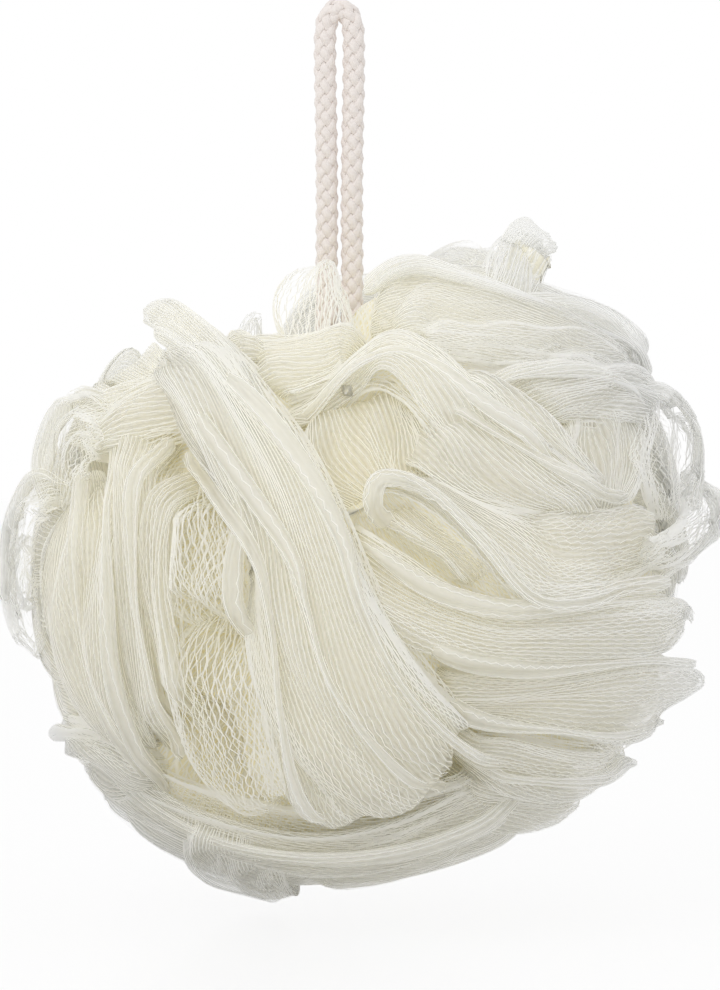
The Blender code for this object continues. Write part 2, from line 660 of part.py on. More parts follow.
def drape_points(drape):
    """Points all over one sheet, measured from the ball's centre."""
    seen = np.array(drape["lines"], dtype=float) / 1000
    lift = np.array(drape["lifts"], dtype=float)[:, None] / 1000
    away = np.hypot(seen[..., 0], seen[..., 1])
    out = np.sqrt(np.clip(DOME_RADIUS**2 - away**2, 0.0, None)) + lift
    knots = np.stack((seen[..., 0], -out, seen[..., 1]), axis=-1)
    run = np.linalg.norm(np.diff(knots, axis=1), axis=2).sum(axis=1).mean()
    width = np.linalg.norm(np.diff(knots, axis=0), axis=2).sum(axis=0).max()
    stations = max(4, round(run / SHEET_STEP))
    lines = spline_through(np.swapaxes(knots, 0, 1), stations)
    # Both ends go down among the inner layers.
    share = np.linspace(0.0, 1.0, stations)
    starting, ending = drape.get("tucks", (TUCK_DEPTH, TUCK_DEPTH))
    length = min(TUCK_LENGTH, 0.25 * run)
    tuck = starting * smooth_step(1 - share * run / length)
    tuck = tuck + ending * smooth_step(1 - (1 - share) * run / length)
    tuck = tuck * min(1.0, run / SHORT_DRAPE) / 1000
    inward = -unit(lines)
    beside = smooth_step((np.hypot(inward[..., 0], inward[..., 2]) - 0.55) / 0.3)[..., None]
    inward = unit(inward + beside * (np.array((0.0, 1.0, 0.0)) - inward))
    lines = lines + inward * tuck[:, None, None]
    sheet = spline_through(np.swapaxes(lines, 0, 1), max(3, round(width / SHEET_STEP)))
    return sheet.reshape(-1, 3)


def drape_reach(directions):
    """How far the drapes reach from the ball's centre, or 0 where there is none."""
    points = np.concatenate([drape_points(drape) for drape in DRAPES.values()])
    reach = np.linalg.norm(points, axis=1)
    tree = KDTree(len(points))
    for number, spot in enumerate(unit(points) * DOME_RADIUS):
        tree.insert(spot, number)
    tree.balance()
    found = np.zeros(len(directions))
    for row, spot in enumerate(directions * DOME_RADIUS):
        for _, number, gap in tree.find_range(spot, SHEET_EDGE):
            rounded = reach[number] - SHEET_EDGE + math.sqrt(SHEET_EDGE**2 - gap**2)
            found[row] = max(found[row], rounded)
    return found


def netting(collection, material):
    """The pleated and draped ball, one closed skin."""
    bm = bmesh.new()
    bmesh.ops.create_icosphere(bm, subdivisions=SKIN_DIVISIONS, radius=1.0)
    directions = unit(np.array([vert.co for vert in bm.verts]))
    reach = np.maximum(fold_reach(directions), drape_reach(directions))
    for vert, spot in zip(bm.verts, directions * reach[:, None]):
        vert.co = spot
    faces = len(bm.faces)
    mesh = bpy.data.meshes.new("mesh_netting")
    bm.to_mesh(mesh)
    bm.free()
    obj = mesh_object("mesh_netting", mesh, collection, material)
    obj.location = CENTRE
    thin = obj.modifiers.new("thin", "DECIMATE")
    thin.ratio = SKIN_TRIANGLES / faces
    return obj


# Cord: the hanging loop, its knot and its turn round the waist


def smooth_route(points, step):
    """Points about one step apart on a smooth curve through the given ones."""
    points = np.array(points, dtype=float)
    before_first = 2 * points[0] - points[1]
    after_last = 2 * points[-1] - points[-2]
    padded = np.vstack((before_first, points, after_last))
    dense = []
    for before, start, end, after in zip(padded, padded[1:], padded[2:], padded[3:]):
        for t in np.linspace(0, 1, 12, endpoint=False):
            curved = 2 * before - 5 * start + 4 * end - after
            cubed = 3 * start - before - 3 * end + after
            dense.append(start + 0.5 * ((end - before) * t + curved * t**2 + cubed * t**3))
    dense.append(points[-1])
    dense = np.array(dense)
    run = np.append(0.0, np.cumsum(np.linalg.norm(np.diff(dense, axis=0), axis=1)))
    marks = np.linspace(0.0, run[-1], round(run[-1] / step) + 1)
    return np.column_stack([np.interp(marks, run, dense[:, axis]) for axis in range(3)])


def tube(name, points, diameter, collection, material):
    curve = bpy.data.curves.new(name, "CURVE")
    curve.dimensions = "3D"
    curve.bevel_depth = diameter / 2
    curve.bevel_resolution = 2
    curve.use_fill_caps = True
    spline = curve.splines.new("POLY")
    spline.points.add(len(points) - 1)
    for slot, point in zip(spline.points, points):
        slot.co = (*point, 1.0)
    curve.materials.append(material)
    obj = bpy.data.objects.new(name, curve)
    collection.objects.link(obj)
    return obj


def waist_ring(name, grown, collection, material=None):
    """The cord's turn round the waist, or room for it when grown is the clearance."""
    bpy.ops.mesh.primitive_torus_add(
        major_radius=WAIST_RADIUS + CORD_DIAMETER / 2,
        minor_radius=CORD_DIAMETER / 2 + grown,
        major_segments=24,
        minor_segments=8,
        location=(0.0, 0.0, CENTRE.z),
        rotation=(math.pi / 2, 0.0, 0.0),
    )
    obj = bpy.context.active_object
    obj.name = name
    for owner in list(obj.users_collection):
        owner.objects.unlink(obj)
    collection.objects.link(obj)
    if material:
        obj.data.materials.append(material)
    return obj


def knot_profile(grown):
    """Rounded wraps side by side on one axis, as (radius, height) from top to bottom."""
    length = KNOT_LENGTH + 2 * grown
    outer = KNOT_DIAMETER / 2 + grown
    pitch = length / KNOT_WRAPS
    points = [(0.0, length / 2)]
    for wrap in range(KNOT_WRAPS):
        for share in (0.06, 0.28, 0.50, 0.72, 0.94):
            radius = outer - KNOT_GROOVE * (1 - math.sin(math.pi * share))
            points.append((radius, length / 2 - (wrap + share) * pitch))
    points.append((0.0, -length / 2))
    return points


def knot_body(name, grown, centre_height, collection, material=None):
    """The loop's knot, or room for it when grown is the clearance."""
    mesh = bpy.data.meshes.new(name)
    bm = bmesh.new()
    verts = [bm.verts.new((radius, 0.0, height)) for radius, height in knot_profile(grown)]
    for upper, lower in zip(verts, verts[1:]):
        bm.edges.new((upper, lower))
    bm.to_mesh(mesh)
    bm.free()
    obj = mesh_object(name, mesh, collection, material)
    obj.location = (0.0, 0.0, centre_height)
    obj.rotation_euler = (0.0, math.pi / 2, 0.0)
    screw = obj.modifiers.new("turn", "SCREW")
    screw.steps = 16
    screw.render_steps = screw.steps
    screw.use_merge_vertices = True
    screw.merge_threshold = 0.00001
    return obj


def leg_slot(knot_top, cutters):
    """Room for both legs of the loop, from the knot to well clear of the netting."""
    width = 2 * CORD_DIAMETER + LEG_GAP + 2 * CLEARANCE
    depth = CORD_DIAMETER + 2 * CLEARANCE
    bottom = knot_top - KNOT_DIAMETER / 4
    height = CENTRE.z + 1.5 * BALL_RADIUS - bottom
    mesh = bpy.data.meshes.new("leg_slot")
    bm = bmesh.new()
    bmesh.ops.create_cube(bm, size=1.0)
    bmesh.ops.scale(bm, vec=(width, depth, height), verts=bm.verts)
    bm.to_mesh(mesh)
    bm.free()
    obj = mesh_object("leg_slot", mesh, cutters)
    obj.location = (0.0, 0.0, bottom + height / 2)
    return obj


def cut(target, cutter):
    cutter.hide_render = True
    cutter.display_type = "WIRE"
    boolean = target.modifiers.new(cutter.name, "BOOLEAN")
    boolean.operation = "DIFFERENCE"
    boolean.solver = "EXACT"
    boolean.object = cutter


def build():
    clear_scene()
    parts = new_collection("mesh_bath_pouf")
    cutters = new_collection("cutters")
    netting_material = principled("netting", NETTING_COLOUR, NETTING_ROUGHNESS)
    cord_material = principled("cord", CORD_COLOUR, CORD_ROUGHNESS)

    ball = netting(parts, netting_material)

    waist_ring("waist_turn", 0.0, parts, cord_material)
    ring_top = CENTRE.z + WAIST_RADIUS + CORD_DIAMETER
    knot_height = ring_top + CLEARANCE + KNOT_DIAMETER / 2
    knot_top = knot_height + KNOT_DIAMETER / 2
    knot_body("cord_knot", 0.0, knot_height, parts, cord_material)
    leg = (CORD_DIAMETER + LEG_GAP) / 2
    foot = knot_top + CLEARANCE
    route = ((-leg, 0.0, foot), *LOOP_ROUTE, (leg, 0.0, foot))
    tube("hanging_cord", smooth_route(route, ROUTE_STEP), CORD_DIAMETER, parts, cord_material)

    cut(ball, waist_ring("waist_groove", CLEARANCE, cutters))
    cut(ball, knot_body("knot_room", CLEARANCE, knot_height, cutters))
    cut(ball, leg_slot(knot_top, cutters))


build()
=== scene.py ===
"""Looks of the mesh bath pouf: sheets of netting, each of real strands over a sheer
film, draped round its packed inner layers; a round braid for the cord; and the
photograph's view of it, hanging just clear of a pale floor.
"""

import math
from types import SimpleNamespace

import bpy
import numpy as np
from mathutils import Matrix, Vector
from mathutils.bvhtree import BVHTree


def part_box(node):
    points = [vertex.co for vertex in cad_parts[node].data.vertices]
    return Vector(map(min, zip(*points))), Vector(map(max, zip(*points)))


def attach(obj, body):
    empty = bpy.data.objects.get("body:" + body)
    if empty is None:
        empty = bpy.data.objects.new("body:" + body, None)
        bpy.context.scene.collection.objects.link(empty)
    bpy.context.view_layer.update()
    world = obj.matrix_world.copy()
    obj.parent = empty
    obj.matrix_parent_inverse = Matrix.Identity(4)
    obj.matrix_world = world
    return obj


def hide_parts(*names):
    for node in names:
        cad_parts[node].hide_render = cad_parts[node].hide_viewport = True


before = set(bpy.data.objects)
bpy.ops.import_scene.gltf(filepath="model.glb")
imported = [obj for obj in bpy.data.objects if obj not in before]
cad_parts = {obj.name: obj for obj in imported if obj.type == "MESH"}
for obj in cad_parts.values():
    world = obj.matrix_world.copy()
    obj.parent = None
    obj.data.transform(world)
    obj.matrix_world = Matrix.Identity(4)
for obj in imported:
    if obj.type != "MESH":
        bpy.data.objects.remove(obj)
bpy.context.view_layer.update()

# The ball and the cord, as the solids have them, in metres and degrees. A strand over the
# inner layers runs from pole to pole and swirls as the folds do.
BALL_RADIUS = 0.0655
LOOP_RISE = 0.0389
CORD_SIDE_STEP = 0.0038
CORD_DIAMETER = 0.0044
LEG_GAP = 0.0003
WAIST_RADIUS = 0.0080
KNOT_DIAMETER = 0.0086
CLEARANCE = 0.0003
POLE = np.array(Vector((-0.11, -0.89, 0.44)).normalized())
SWIRL = 22.0
SWIRL_SWING = 21.0
SWIRL_SIDE = 205.0

CENTRE = np.array((CORD_SIDE_STEP, 0.0, -(LOOP_RISE + BALL_RADIUS)))
ACROSS = np.array((1.0, 0.0, 0.0)) - POLE[0] * POLE
ACROSS = ACROSS / np.linalg.norm(ACROSS)
UPWARD = np.cross(POLE, ACROSS)

# The view: real size of the photo's pixels, the pixels of the hook point and of the
# image's middle, and the camera's distance and height
PIXELS_PER_METRE = 5200.0
HOOK_PIXEL = (339.5, 22.0)
MIDDLE_PIXEL = (360.0, 495.0)
IMAGE_HEIGHT = 990.0
CAMERA_DISTANCE = 0.90
CAMERA_ELEVATION = 3.0
SENSOR_WIDTH = 36.0
NEAREST_SEEN = 0.05

# The light and the floor: a soft lamp, an even world, and how much of the background's
# white the floor shows
KEY_PLACE = (-0.45, -0.75, 0.55)
KEY_AIM = Vector((0.0, 0.0, -0.09))
KEY_SIZE = 0.60
KEY_POWER = 2.1
WORLD_LIGHT = 0.90
WHITE = (1.0, 1.0, 1.0, 1.0)
FLOOR_COLOUR = (0.9, 0.9, 0.9, 1.0)
FLOOR_SIZE = 3.0
FLOOR_DROP = 0.0005
FLOOR_GLOW = 0.85

# The cord's route over the hook, the same as the solid's
LOOP_ROUTE = (
    (-0.00245, 0.0, -0.0480), (-0.0024, 0.0001, -0.0400),
    (-0.00242, 0.0001, -0.0320), (-0.0025, 0.0, -0.0230),
    (-0.00265, -0.0001, -0.0140), (-0.00275, -0.0001, -0.0070),
    (-0.00265, 0.0, -0.0020), (-0.0019, 0.0, 0.0008),
    (0.0, 0.0, 0.0022), (0.0019, 0.0, 0.0008),
    (0.00265, 0.0, -0.0020), (0.00275, 0.0001, -0.0070),
    (0.0027, 0.0001, -0.0140), (0.0025, 0.0, -0.0230),
    (0.0024, -0.0001, -0.0320), (0.0024, 0.0, -0.0400),
    (0.00245, 0.0001, -0.0480),
)
ROUTE_CUTS = 12

# Braid: strands each way, the height of one full turn, and the strands' own sizes
BRAID_WAYS = 4
BRAID_TURN = 0.0122
BRAID_RADIUS = 0.00155
BRAID_LIFT = 0.00026
BRAID_HALF_WIDTH = 0.00088
BRAID_HALF_THICKNESS = 0.00044
BRAID_STEP = 0.00050
BRAID_SIDES = 8
BRAID_SWAY = 0.10

# Sheets of netting draped over the front, each a flattened tube. A sheet's lines run
# along its strands, and a lift for each is how far it stands out of the dome, in
# millimetres. A line's points go in pairs: millimetres right of and above the ball's
# middle, as seen from the front. The rest is as follows, where it isn't the usual value:
# - tucks: how far the two ends go down among the inner layers, and slope, over how far
# - skew: how far the strands wind round the tube, in turns
# - open: how wide the mesh cells are, and flare, how much wider they get at the far end
# - net: an open net with no film, and how much wider its strands are spaced
# - spread: the sheet's width as a multiple of that of its lines, and thick, the tube's
#   thickness in millimetres
DOME_RADIUS = 0.0650
DRAPES = {}


def add_drape(name, *lines, **looks):
    DRAPES[name] = dict(looks, lines=lines)


add_drape(
    "left_top",
    (-55,29, -49,32.8, -43,36.2, -36,39, -28,41),
    (-54,24.5, -48,28, -42,31.5, -34,34, -27,36),
    (-53,20, -46,23.5, -39,26.5, -32,29, -25,31),
    lifts=(-5, -4, -5), spread=1.0,
)
add_drape(
    "lower_band",
    (-54,-26, -45,-35, -35,-41, -22,-45, -8,-47, 6,-45, 18,-40, 28,-34),
    (-56,-31, -47,-41, -36,-47, -22,-51, -8,-52, 7,-50.5, 22,-45.5, 34,-38.5),
    (-54,-37, -46.5,-46.5, -36,-53, -22,-56, -8,-56, 7,-54.5, 23,-49.5, 36,-43),
    (-50,-42, -44,-50.5, -34,-57.5, -22,-60, -8,-58.5, 7,-57, 23,-52.5, 35,-47),
    lifts=(-3.5, -3, -4, -7), open=0.5, spread=1.0,
)
add_drape(
    "petal",
    (-39.5,51, -35.5,51.8, -30,48.5, -24,43.5, -18,37.5, -13,31),
    (-40,49.5, -35,48.5, -29,44.5, -23,39.5, -18,34, -14,28),
    (-39.8,47, -34.5,45, -28.5,40.5, -23,35.5, -18.5,30, -15,24),
    (-38.5,43.5, -34,41, -28.5,36.5, -23.5,31.5, -19.5,26, -16.5,20),
    lifts=(-1, 0.5, 1, 0), tucks=(1, 10), open=0.12, spread=1.0,
)
add_drape(
    "sweep",
    (-34,47.5, -26,43.5, -18,34.5, -10,23.5, -4,11, 2,-3, 9.5,-15.5, 17,-24, 28,-28),
    (-35.5,46, -28,41, -20,30.5, -12.5,19, -7,6.5, -1,-7.5, 6,-19, 14.5,-27.5, 26,-34),
    (-37.5,44, -30,38, -22,26.5, -15,14.5, -10,2, -4.5,-11, 3,-23, 12,-32, 23,-39),
    (-39.5,42, -32,34.5, -24,22.5, -17,11, -13,-1, -8,-14, -0.5,-27, 9,-37, 19.5,-44),
    (-41,39.5, -32,30.5, -24.5,19.5, -18.3,9.5, -15.5,-3, -11.5,-16, -5,-29, 3,-40, 11,-47),
    (-33,28, -26,21, -20.5,13.5, -18.5,6, -17.5,-5, -14.5,-18, -9.5,-31, -3,-42, 4,-50),
    (-24,19, -21,13, -19.3,7.5, -19,1, -19,-8, -17,-19, -13.5,-31, -9.5,-42, -6,-50),
    lifts=(3.0, 3.0, 2.5, 2.0, 1.5, 1.0, 0), tucks=(6, 16), skew=0.12, flare=2.8,
)
add_drape(
    "leaf",
    (-34.5,-2, -35.5,-12, -34,-22, -31.5,-32, -28,-39, -23,-44, -16,-45),
    (-31,-4, -31.5,-13, -30,-23, -27.5,-32, -24.5,-38.5, -20,-43, -15,-44),
    (-27,-6, -27,-15, -25.5,-24, -23,-32, -20.5,-38, -17.5,-41.5, -14.5,-43),
    (-23,-7, -22,-15, -20.5,-24, -18.5,-32, -17,-37.5, -15.5,-40.5, -13.8,-42),
    (-19.5,-6, -18.3,-14, -16,-24, -14.5,-32, -13.6,-37, -12.8,-40, -12.6,-41.5),
    lifts=(0, 1, 2, 2, 1.5), skew=0.16, open=0.9, net=1.2,
)
add_drape(
    "cup_back",
    (-33,23, -34,16, -34.5,8, -34.5,0, -34,-6, -33,-12),
    (-30,25.5, -30,17, -30,8, -30,0, -29.5,-6, -28,-12),
    (-26,25, -25.5,17, -25,8, -25,0, -24.5,-6, -23,-12),
    (-21,18, -19.5,13, -18.5,6, -18.5,-1, -19,-7, -18,-13),
    lifts=(-2, -6, -7, -4), open=1.0, net=1.3,
)
add_drape(
    "cup_petal",
    (-33.5,20, -34,14, -34,8, -34,3, -34,-1, -33,-6),
    (-31,19, -31,13, -31,7, -31,2, -30.5,-2, -29.5,-7),
    (-27,17.5, -26.5,13, -26.5,8, -27,3, -27,-2, -26,-8),
    (-23.5,14, -22,10.5, -21,6, -21,1.5, -21,-3, -20.5,-8),
    lifts=(1, 0.5, 0.5, 1.5), open=0.95, net=1.2,
)
add_drape(
    "bright_roll",
    (-33,25, -37,18, -39,9, -39.3,-1, -38,-11, -36.5,-21, -34,-32),
    (-32,24, -35.5,17, -37.5,9, -37.8,-1, -36.5,-11, -35,-21, -32.8,-32),
    (-31,23, -34,16, -35.8,9, -36,-1, -35,-11, -33.5,-21, -31.5,-32),
    (-30,22, -32.5,15, -34,9, -34,-1, -33.5,-11, -32,-21, -30.3,-32),
    lifts=(-1, 1.5, 1.5, -1), open=0.3, thick=4.0,
)
add_drape(
    "tall_fold",
    (-44.5,27, -44.5,20, -44,10, -43.5,0, -43,-12, -41.5,-24, -38,-35),
    (-43,30.5, -42.5,21, -42,10, -42,0, -41.5,-12, -40,-24, -37,-35),
    (-39.5,31.5, -40,21, -40,10, -40.3,0, -40,-12, -38.5,-24, -36,-35),
    (-35,30, -37,21, -38.5,11, -39,0, -38.5,-12, -37,-24, -35,-35),
    lifts=(-2, 0.5, 0.5, -2), open=0.3,
)
add_drape(
    "left_panel",
    (-55,13, -57.5,6, -59,-3, -58.5,-12, -55.5,-21, -49.5,-28.5, -41,-34.5),
    (-53,17, -54,7, -55,-3, -54.5,-12, -51.5,-21, -46.5,-28.5, -39.5,-35),
    (-50,19.5, -50,8, -50.5,-3, -50,-12, -48,-21, -44,-29, -38,-35.5),
    (-47,21, -46.5,9, -46.5,-3, -46,-12, -44.5,-21, -41.5,-29, -36.5,-36),
    (-44.5,21, -43.5,9, -43,-3, -42.5,-12, -41.5,-21, -39,-29, -35,-36.5),
    lifts=(-2, 0, 0.5, 0, -1.5), open=0.45,
)
add_drape(
    "left_lobe_high",
    (-43,31.5, -47,34, -52,34.5, -56,31.5, -59,26, -59.8,20, -58,13),
    (-44,28.5, -47.5,31, -51,31, -54,28.5, -56,24, -56.5,19, -55.5,12),
    (-45,25.5, -48,27.5, -50,27.5, -51.5,25.5, -53,22, -53.5,18, -53.5,11),
    (-46,23, -48,24, -49,24, -49.5,22, -50.5,20, -50.5,17, -51,10),
    lifts=(-6, -1, 0, 0), open=0.95, net=1.5,
)
add_drape(
    "left_lobe_middle",
    (-53,18.5, -58,19, -62,17.8, -65,14.5, -66.8,9, -67.8,3, -68.5,-4, -68,-9),
    (-54,14.5, -58,15.5, -61,14, -63,11.5, -64.2,7, -64.8,2, -65,-4, -64.5,-9),
    (-55,10, -58,11.5, -59.5,10.5, -60.5,8.5, -61.3,5, -61.8,1, -61.5,-4, -61,-9),
    lifts=(-4, 0, 0), open=0.95, net=1.5,
)
add_drape(
    "left_lobe_low",
    (-67.5,6, -69.3,-1, -69.3,-6, -67.5,-13, -64,-19),
    (-64.5,6, -66,-1, -66,-6, -64.5,-12, -61.5,-18),
    (-61.5,5, -62.5,-1, -62.5,-6, -61.5,-12, -59,-17),
    lifts=(-2, 0, 0), open=0.95, net=1.5,
)
add_drape(
    "small_lobe",
    (-25,44.5, -23,46.3, -20,46.5, -17,44.8),
    (-24,42, -22,43, -20,43, -18,42),
    (-23,39, -21.5,39.5, -20,39.5, -18.5,39),
    lifts=(-6, -4, -3), spread=1.0,
)
add_drape(
    "saddle",
    (-26,43, -20,44.5, -14,45, -8,46, -2,47.5, 2,46),
    (-22,38, -17,39.5, -12,40, -7,41, -3,43, 1,43.5),
    (-18,34, -14,35, -10,36.5, -5,38.5, -2,40.5, 1,41),
    lifts=(-4, -2, -1),
)
add_drape(
    "front_lobe",
    (-13,38, -15,44, -15.8,49, -14.5,53.5, -11.5,57, -8,58.8),
    (-10.5,38.5, -12,44.5, -12.2,49.5, -11.2,53, -9.5,56.3, -7.5,58.5),
    (-7,39, -8,45, -8.2,50, -7.8,53, -7.2,56.3, -6.5,58.3),
    (-4,40, -4.5,46, -4.8,50, -4.8,53, -5,55.8, -5.5,57.8),
    (-1,41, -0.8,46, -1,50.5, -1.8,53.5, -3,55.8, -4.8,57.4),
    lifts=(-9, -5, -4, -5, -9), tucks=(10, 2), open=0.5, net=1.25, spread=1.0,
)
add_drape(
    "top_sheet",
    (0,50, 3,56, 9,59.5, 17,58, 26,57, 34,54, 43,51, 51,47.5, 57,43, 58,38),
    (1,48.5, 5,53, 11,55.5, 18,54.5, 26,53, 34,51, 42,48, 49,45, 54,41.5, 56,37.5),
    (2,47, 7,49.5, 13,51, 20,50, 27,49, 34,47, 41,45, 47,42.5, 51.5,40, 54,37),
    (3,46, 9,46.5, 15,46, 21,45, 28,44, 34,43, 40,41.5, 45.5,40, 50,38.5, 53,36.5),
    (5,44, 12,42.5, 17,41, 23,40, 29,39.5, 35,39, 40,38.5, 45,38, 49,37, 52,36),
    lifts=(-10, -4, -1, 0, -2), skew=0.06, open=0.35, flare=2.4, spread=1.0,
)
add_drape(
    "top_knob",
    (22,50, 24.5,56, 26,61, 28.5,65, 31,66.6, 33.5,66),
    (25,49, 27.5,55, 29,60, 31,63.5, 33.5,65, 35.5,64),
    (28.5,48, 30.5,54, 32,58, 33.5,61, 35.5,62.5, 37,61.5),
    (31,47, 33,53, 34.5,56, 36,58.3, 37.5,59.7, 39,60),
    lifts=(-2, 0, 0, -2), tucks=(8, 1), open=0.15, spread=1.0, thick=4.0,
)
add_drape(
    "arch_band",
    (-18,34.5, -9,37.5, 0,43, 7,46, 14,43.5, 20,39, 27,34, 34,28.5, 41,22),
    (-17,33, -8,36.5, 0,41.5, 6,44, 12,41.5, 17.5,36.5, 24,31, 31,25.5, 38,20),
    (-16,31.5, -7,35.5, 0,40, 5,41.5, 10,39, 15,34, 21,28.5, 28,23, 35,18),
    (-14,30, -6,34.8, 0,38, 4.5,39, 8.5,36.5, 12.5,31.5, 18,26, 25,20.5, 32,16),
    lifts=(1.5, 2.0, 2.0, 2.5), tucks=(8, 10), slope=26, skew=0.08, spread=1.0,
)
add_drape(
    "shoulder",
    (14,43, 20,39, 27,34.5, 34,29, 40,23, 46,18, 54,14),
    (12,40, 18,34.5, 24,29, 30,24, 37,19, 44,15.5, 52,13),
    (11,36, 16,30.5, 21,25.5, 27,21, 34,17, 42,14, 50,12.5),
    (8,33, 13,27.5, 18,22.5, 24,18.5, 31,15.5, 39,13.2, 48,12),
    (5,29, 9,24.5, 14,20.5, 20,16.5, 27,14, 35,12.5, 45,11.5),
    lifts=(1.0, 0.5, 0, -0.5, -1.5), tucks=(10, 14), skew=0.05,
)
add_drape(
    "pocket_back",
    (-13,33, -11,27, -8,20, -4,14, 0,9),
    (-7,37, -5,30, -3,23, 0,17, 4,12),
    (0,40, 2,32, 4,25, 6,20, 10,15),
    (7,39, 8,32, 10,26, 13,20, 17,15),
    (13,34, 14,28, 17,22, 21,17, 25,12),
    lifts=(-3, -5, -6, -5, -3),
)
add_drape(
    "right_tongue_high",
    (24,35, 33,38.5, 43,39.8, 51,38.8, 57,36),
    (26,33.5, 34,36, 43,37, 51,36, 57.5,33),
    (29,31.5, 36,33, 44,33.5, 51,32.5, 57.5,30.5),
    (32,29, 38,29.5, 45,29.5, 52,29, 57,28),
    lifts=(0, 1, -1, -4),
)
add_drape(
    "right_pocket",
    (36,33, 37,27, 37,22, 37,16, 36,10),
    (41,34, 41.5,28, 41.5,22, 41,15, 41,9),
    (47,35, 47,29, 47,22, 46,15, 46,9),
    (53,34, 52.5,28, 52,22, 51,15, 50,9),
    lifts=(-4, -5, -5, -4),
)
add_drape(
    "right_lobe",
    (49,33, 50,27, 50,22, 50,17, 50,9),
    (53,33, 54.5,28, 55,23, 55,18, 55,9),
    (56,33, 58.5,29, 60,24, 60,18, 59,9),
    (58,32.5, 61,29.5, 63.5,24.5, 64,18.5, 62.5,10),
    (60,31.5, 62.5,29, 65.5,24.5, 66.3,18.5, 64,11),
    lifts=(-3, -1, -1, -2, -4), open=0.95, net=1.5,
)
add_drape(
    "right_lobe_low",
    (66,17.5, 69,14, 69.5,9, 66.5,4, 61,0, 54,-2.5),
    (64,15.5, 66,12.5, 66,9, 63,5.5, 58,2.5, 52,0),
    (62,13.5, 63,11.5, 62.5,9, 59.5,6.5, 55.5,5, 50,3),
    (60,11.5, 60,10.5, 59,9, 56.5,8, 53,7, 48,6),
    lifts=(-5, -1, 0, -3), open=0.95, net=1.5,
)
add_drape(
    "winding_ridge",
    (3,16.5, 4.5,19.8, 10,18.7, 16,14.8, 22,9, 27.5,2.5, 31.5,-1.8, 38,-2.5, 47,-1.3, 55,-1.5),
    (5,18, 7,20.3, 12,18.6, 18,14.5, 24,9.5, 30,4.5, 34.5,1.8, 40,1.5, 48,2, 55,1.5),
    (7,19, 9,20.3, 14,18.3, 20,14.5, 26.5,11, 33,8, 37.5,6.5, 42.5,6, 49,6, 56,5.5),
    (9,19.5, 11,20, 16,18, 22,14.8, 29,13, 36,12.5, 40,12.5, 45,12, 51,12, 58,11.5),
    lifts=(3.0, 2.0, -0.5, -1.0), open=0.7,
)
add_drape(
    "ridge_rim",
    (4.5,13, 1.8,16, 3.3,20.2, 8.5,20.3, 14,17.8, 19.5,13.5, 25,8, 29.5,2.3, 34,-1.2, 40,-1.2, 48,0.2,
     57,0),
    (5,13.2, 2.8,16, 4,19.3, 8.3,19.2, 13.5,16.6, 18.5,12.2, 23.8,6.8, 28.3,1.2, 33.5,-2.4, 40,-2.6,
     48,-1.2, 57,-1.2),
    (5.6,13.5, 3.8,16, 4.7,18.4, 8,18, 13,15.4, 17.5,11, 22.5,5.6, 27.2,0.2, 33,-3.6, 40,-4, 48,-2.6,
     57,-2.4),
    lifts=(3.0, 4.5, 3.0), tucks=(5, 8), open=0.3, spread=1.0, thick=2.6,
)
add_drape(
    "ridge_pocket",
    (4,16, 5,12, 10,8.5, 15.5,5.5, 20,1, 25,-3.5),
    (6.5,17, 9.5,13, 13.5,9.8, 18,7, 22.5,2.5, 28,-2.5),
    (9.5,18, 13,14.5, 17,11, 21,7.5, 25,2.5, 30,-2),
    lifts=(0.5, -2.5, -3),
)
add_drape(
    "right_tongue_middle",
    (-5,16, 2,9, 9,4.5, 17,-0.5, 26,-4, 36,-4.5, 46,-4, 55,-4.5, 61,-6),
    (-6,12, 1,5, 8,0.5, 16,-3.5, 25,-6.5, 35,-7, 46,-7, 56,-7.5, 63,-8.5),
    (-6,8.5, -0.5,1.5, 7,-3.5, 15,-7, 24,-9.5, 34,-10, 45,-10.5, 55,-11, 63.5,-11),
    (-5,5, 0,-2.5, 6,-8, 13,-11, 22,-13, 33,-13.3, 45,-13.6, 54,-14.2, 61.5,-14),
    lifts=(-1.5, -0.5, 0, 1), skew=0.05, flare=2.2,
)
add_drape(
    "right_tongue_low",
    (11,-14, 18,-16, 27,-16.5, 38,-16, 48,-15.5, 57,-16.5, 66,-21.5),
    (12,-17, 19,-19, 28,-19.5, 38,-19.5, 48,-19, 58,-19.8, 67.5,-22.6),
    (13.5,-20, 20,-22, 28,-22.5, 38,-23, 48,-24, 57,-24.5, 66.5,-24),
    (15.5,-23.5, 21,-25, 29,-26, 37,-28, 45,-31, 53,-32, 64,-27),
    lifts=(-4, -2, -2, -2), flare=2.6, spread=1.0,
)
add_drape(
    "right_tongue_base",
    (10,-25, 20,-28.5, 27,-29, 34,-31, 41,-33, 47,-34, 53,-33.5),
    (11,-28, 21,-31, 27.5,-32.5, 34,-34.5, 40.5,-36, 46,-36.5, 52,-35.8),
    (12,-31.5, 22,-34, 27.5,-36, 33,-38, 38,-39, 44,-39, 50,-38),
    (13,-35, 22,-37, 27.5,-39, 32,-40.5, 37,-41.5, 42,-41.5, 47,-40.5),
    lifts=(-2, -1.5, -2, -3),
)
add_drape(
    "small_tongue",
    (14,-37, 24,-38.5, 31,-41, 37,-42.5, 43,-41.5),
    (14,-41, 23,-42.5, 30,-44, 36,-45, 41.5,-44),
    (13,-45, 21,-46.5, 28,-47.5, 33,-48, 38,-46.5),
    lifts=(-4, -4, -5),
)
add_drape(
    "left_tip",
    (-60.5,-31.8, -55,-29.8, -49,-29.5, -42,-33, -34,-37),
    (-60,-33, -55,-32.5, -49,-34, -42,-37, -34,-37.8),
    (-59,-34.3, -54.5,-36, -49,-40, -43,-41, -34,-38.6),
    (-57,-35, -52,-39, -47.5,-44, -42,-43.5, -34,-39.5),
    lifts=(-4, -2, -2, -4), spread=1.0,
)
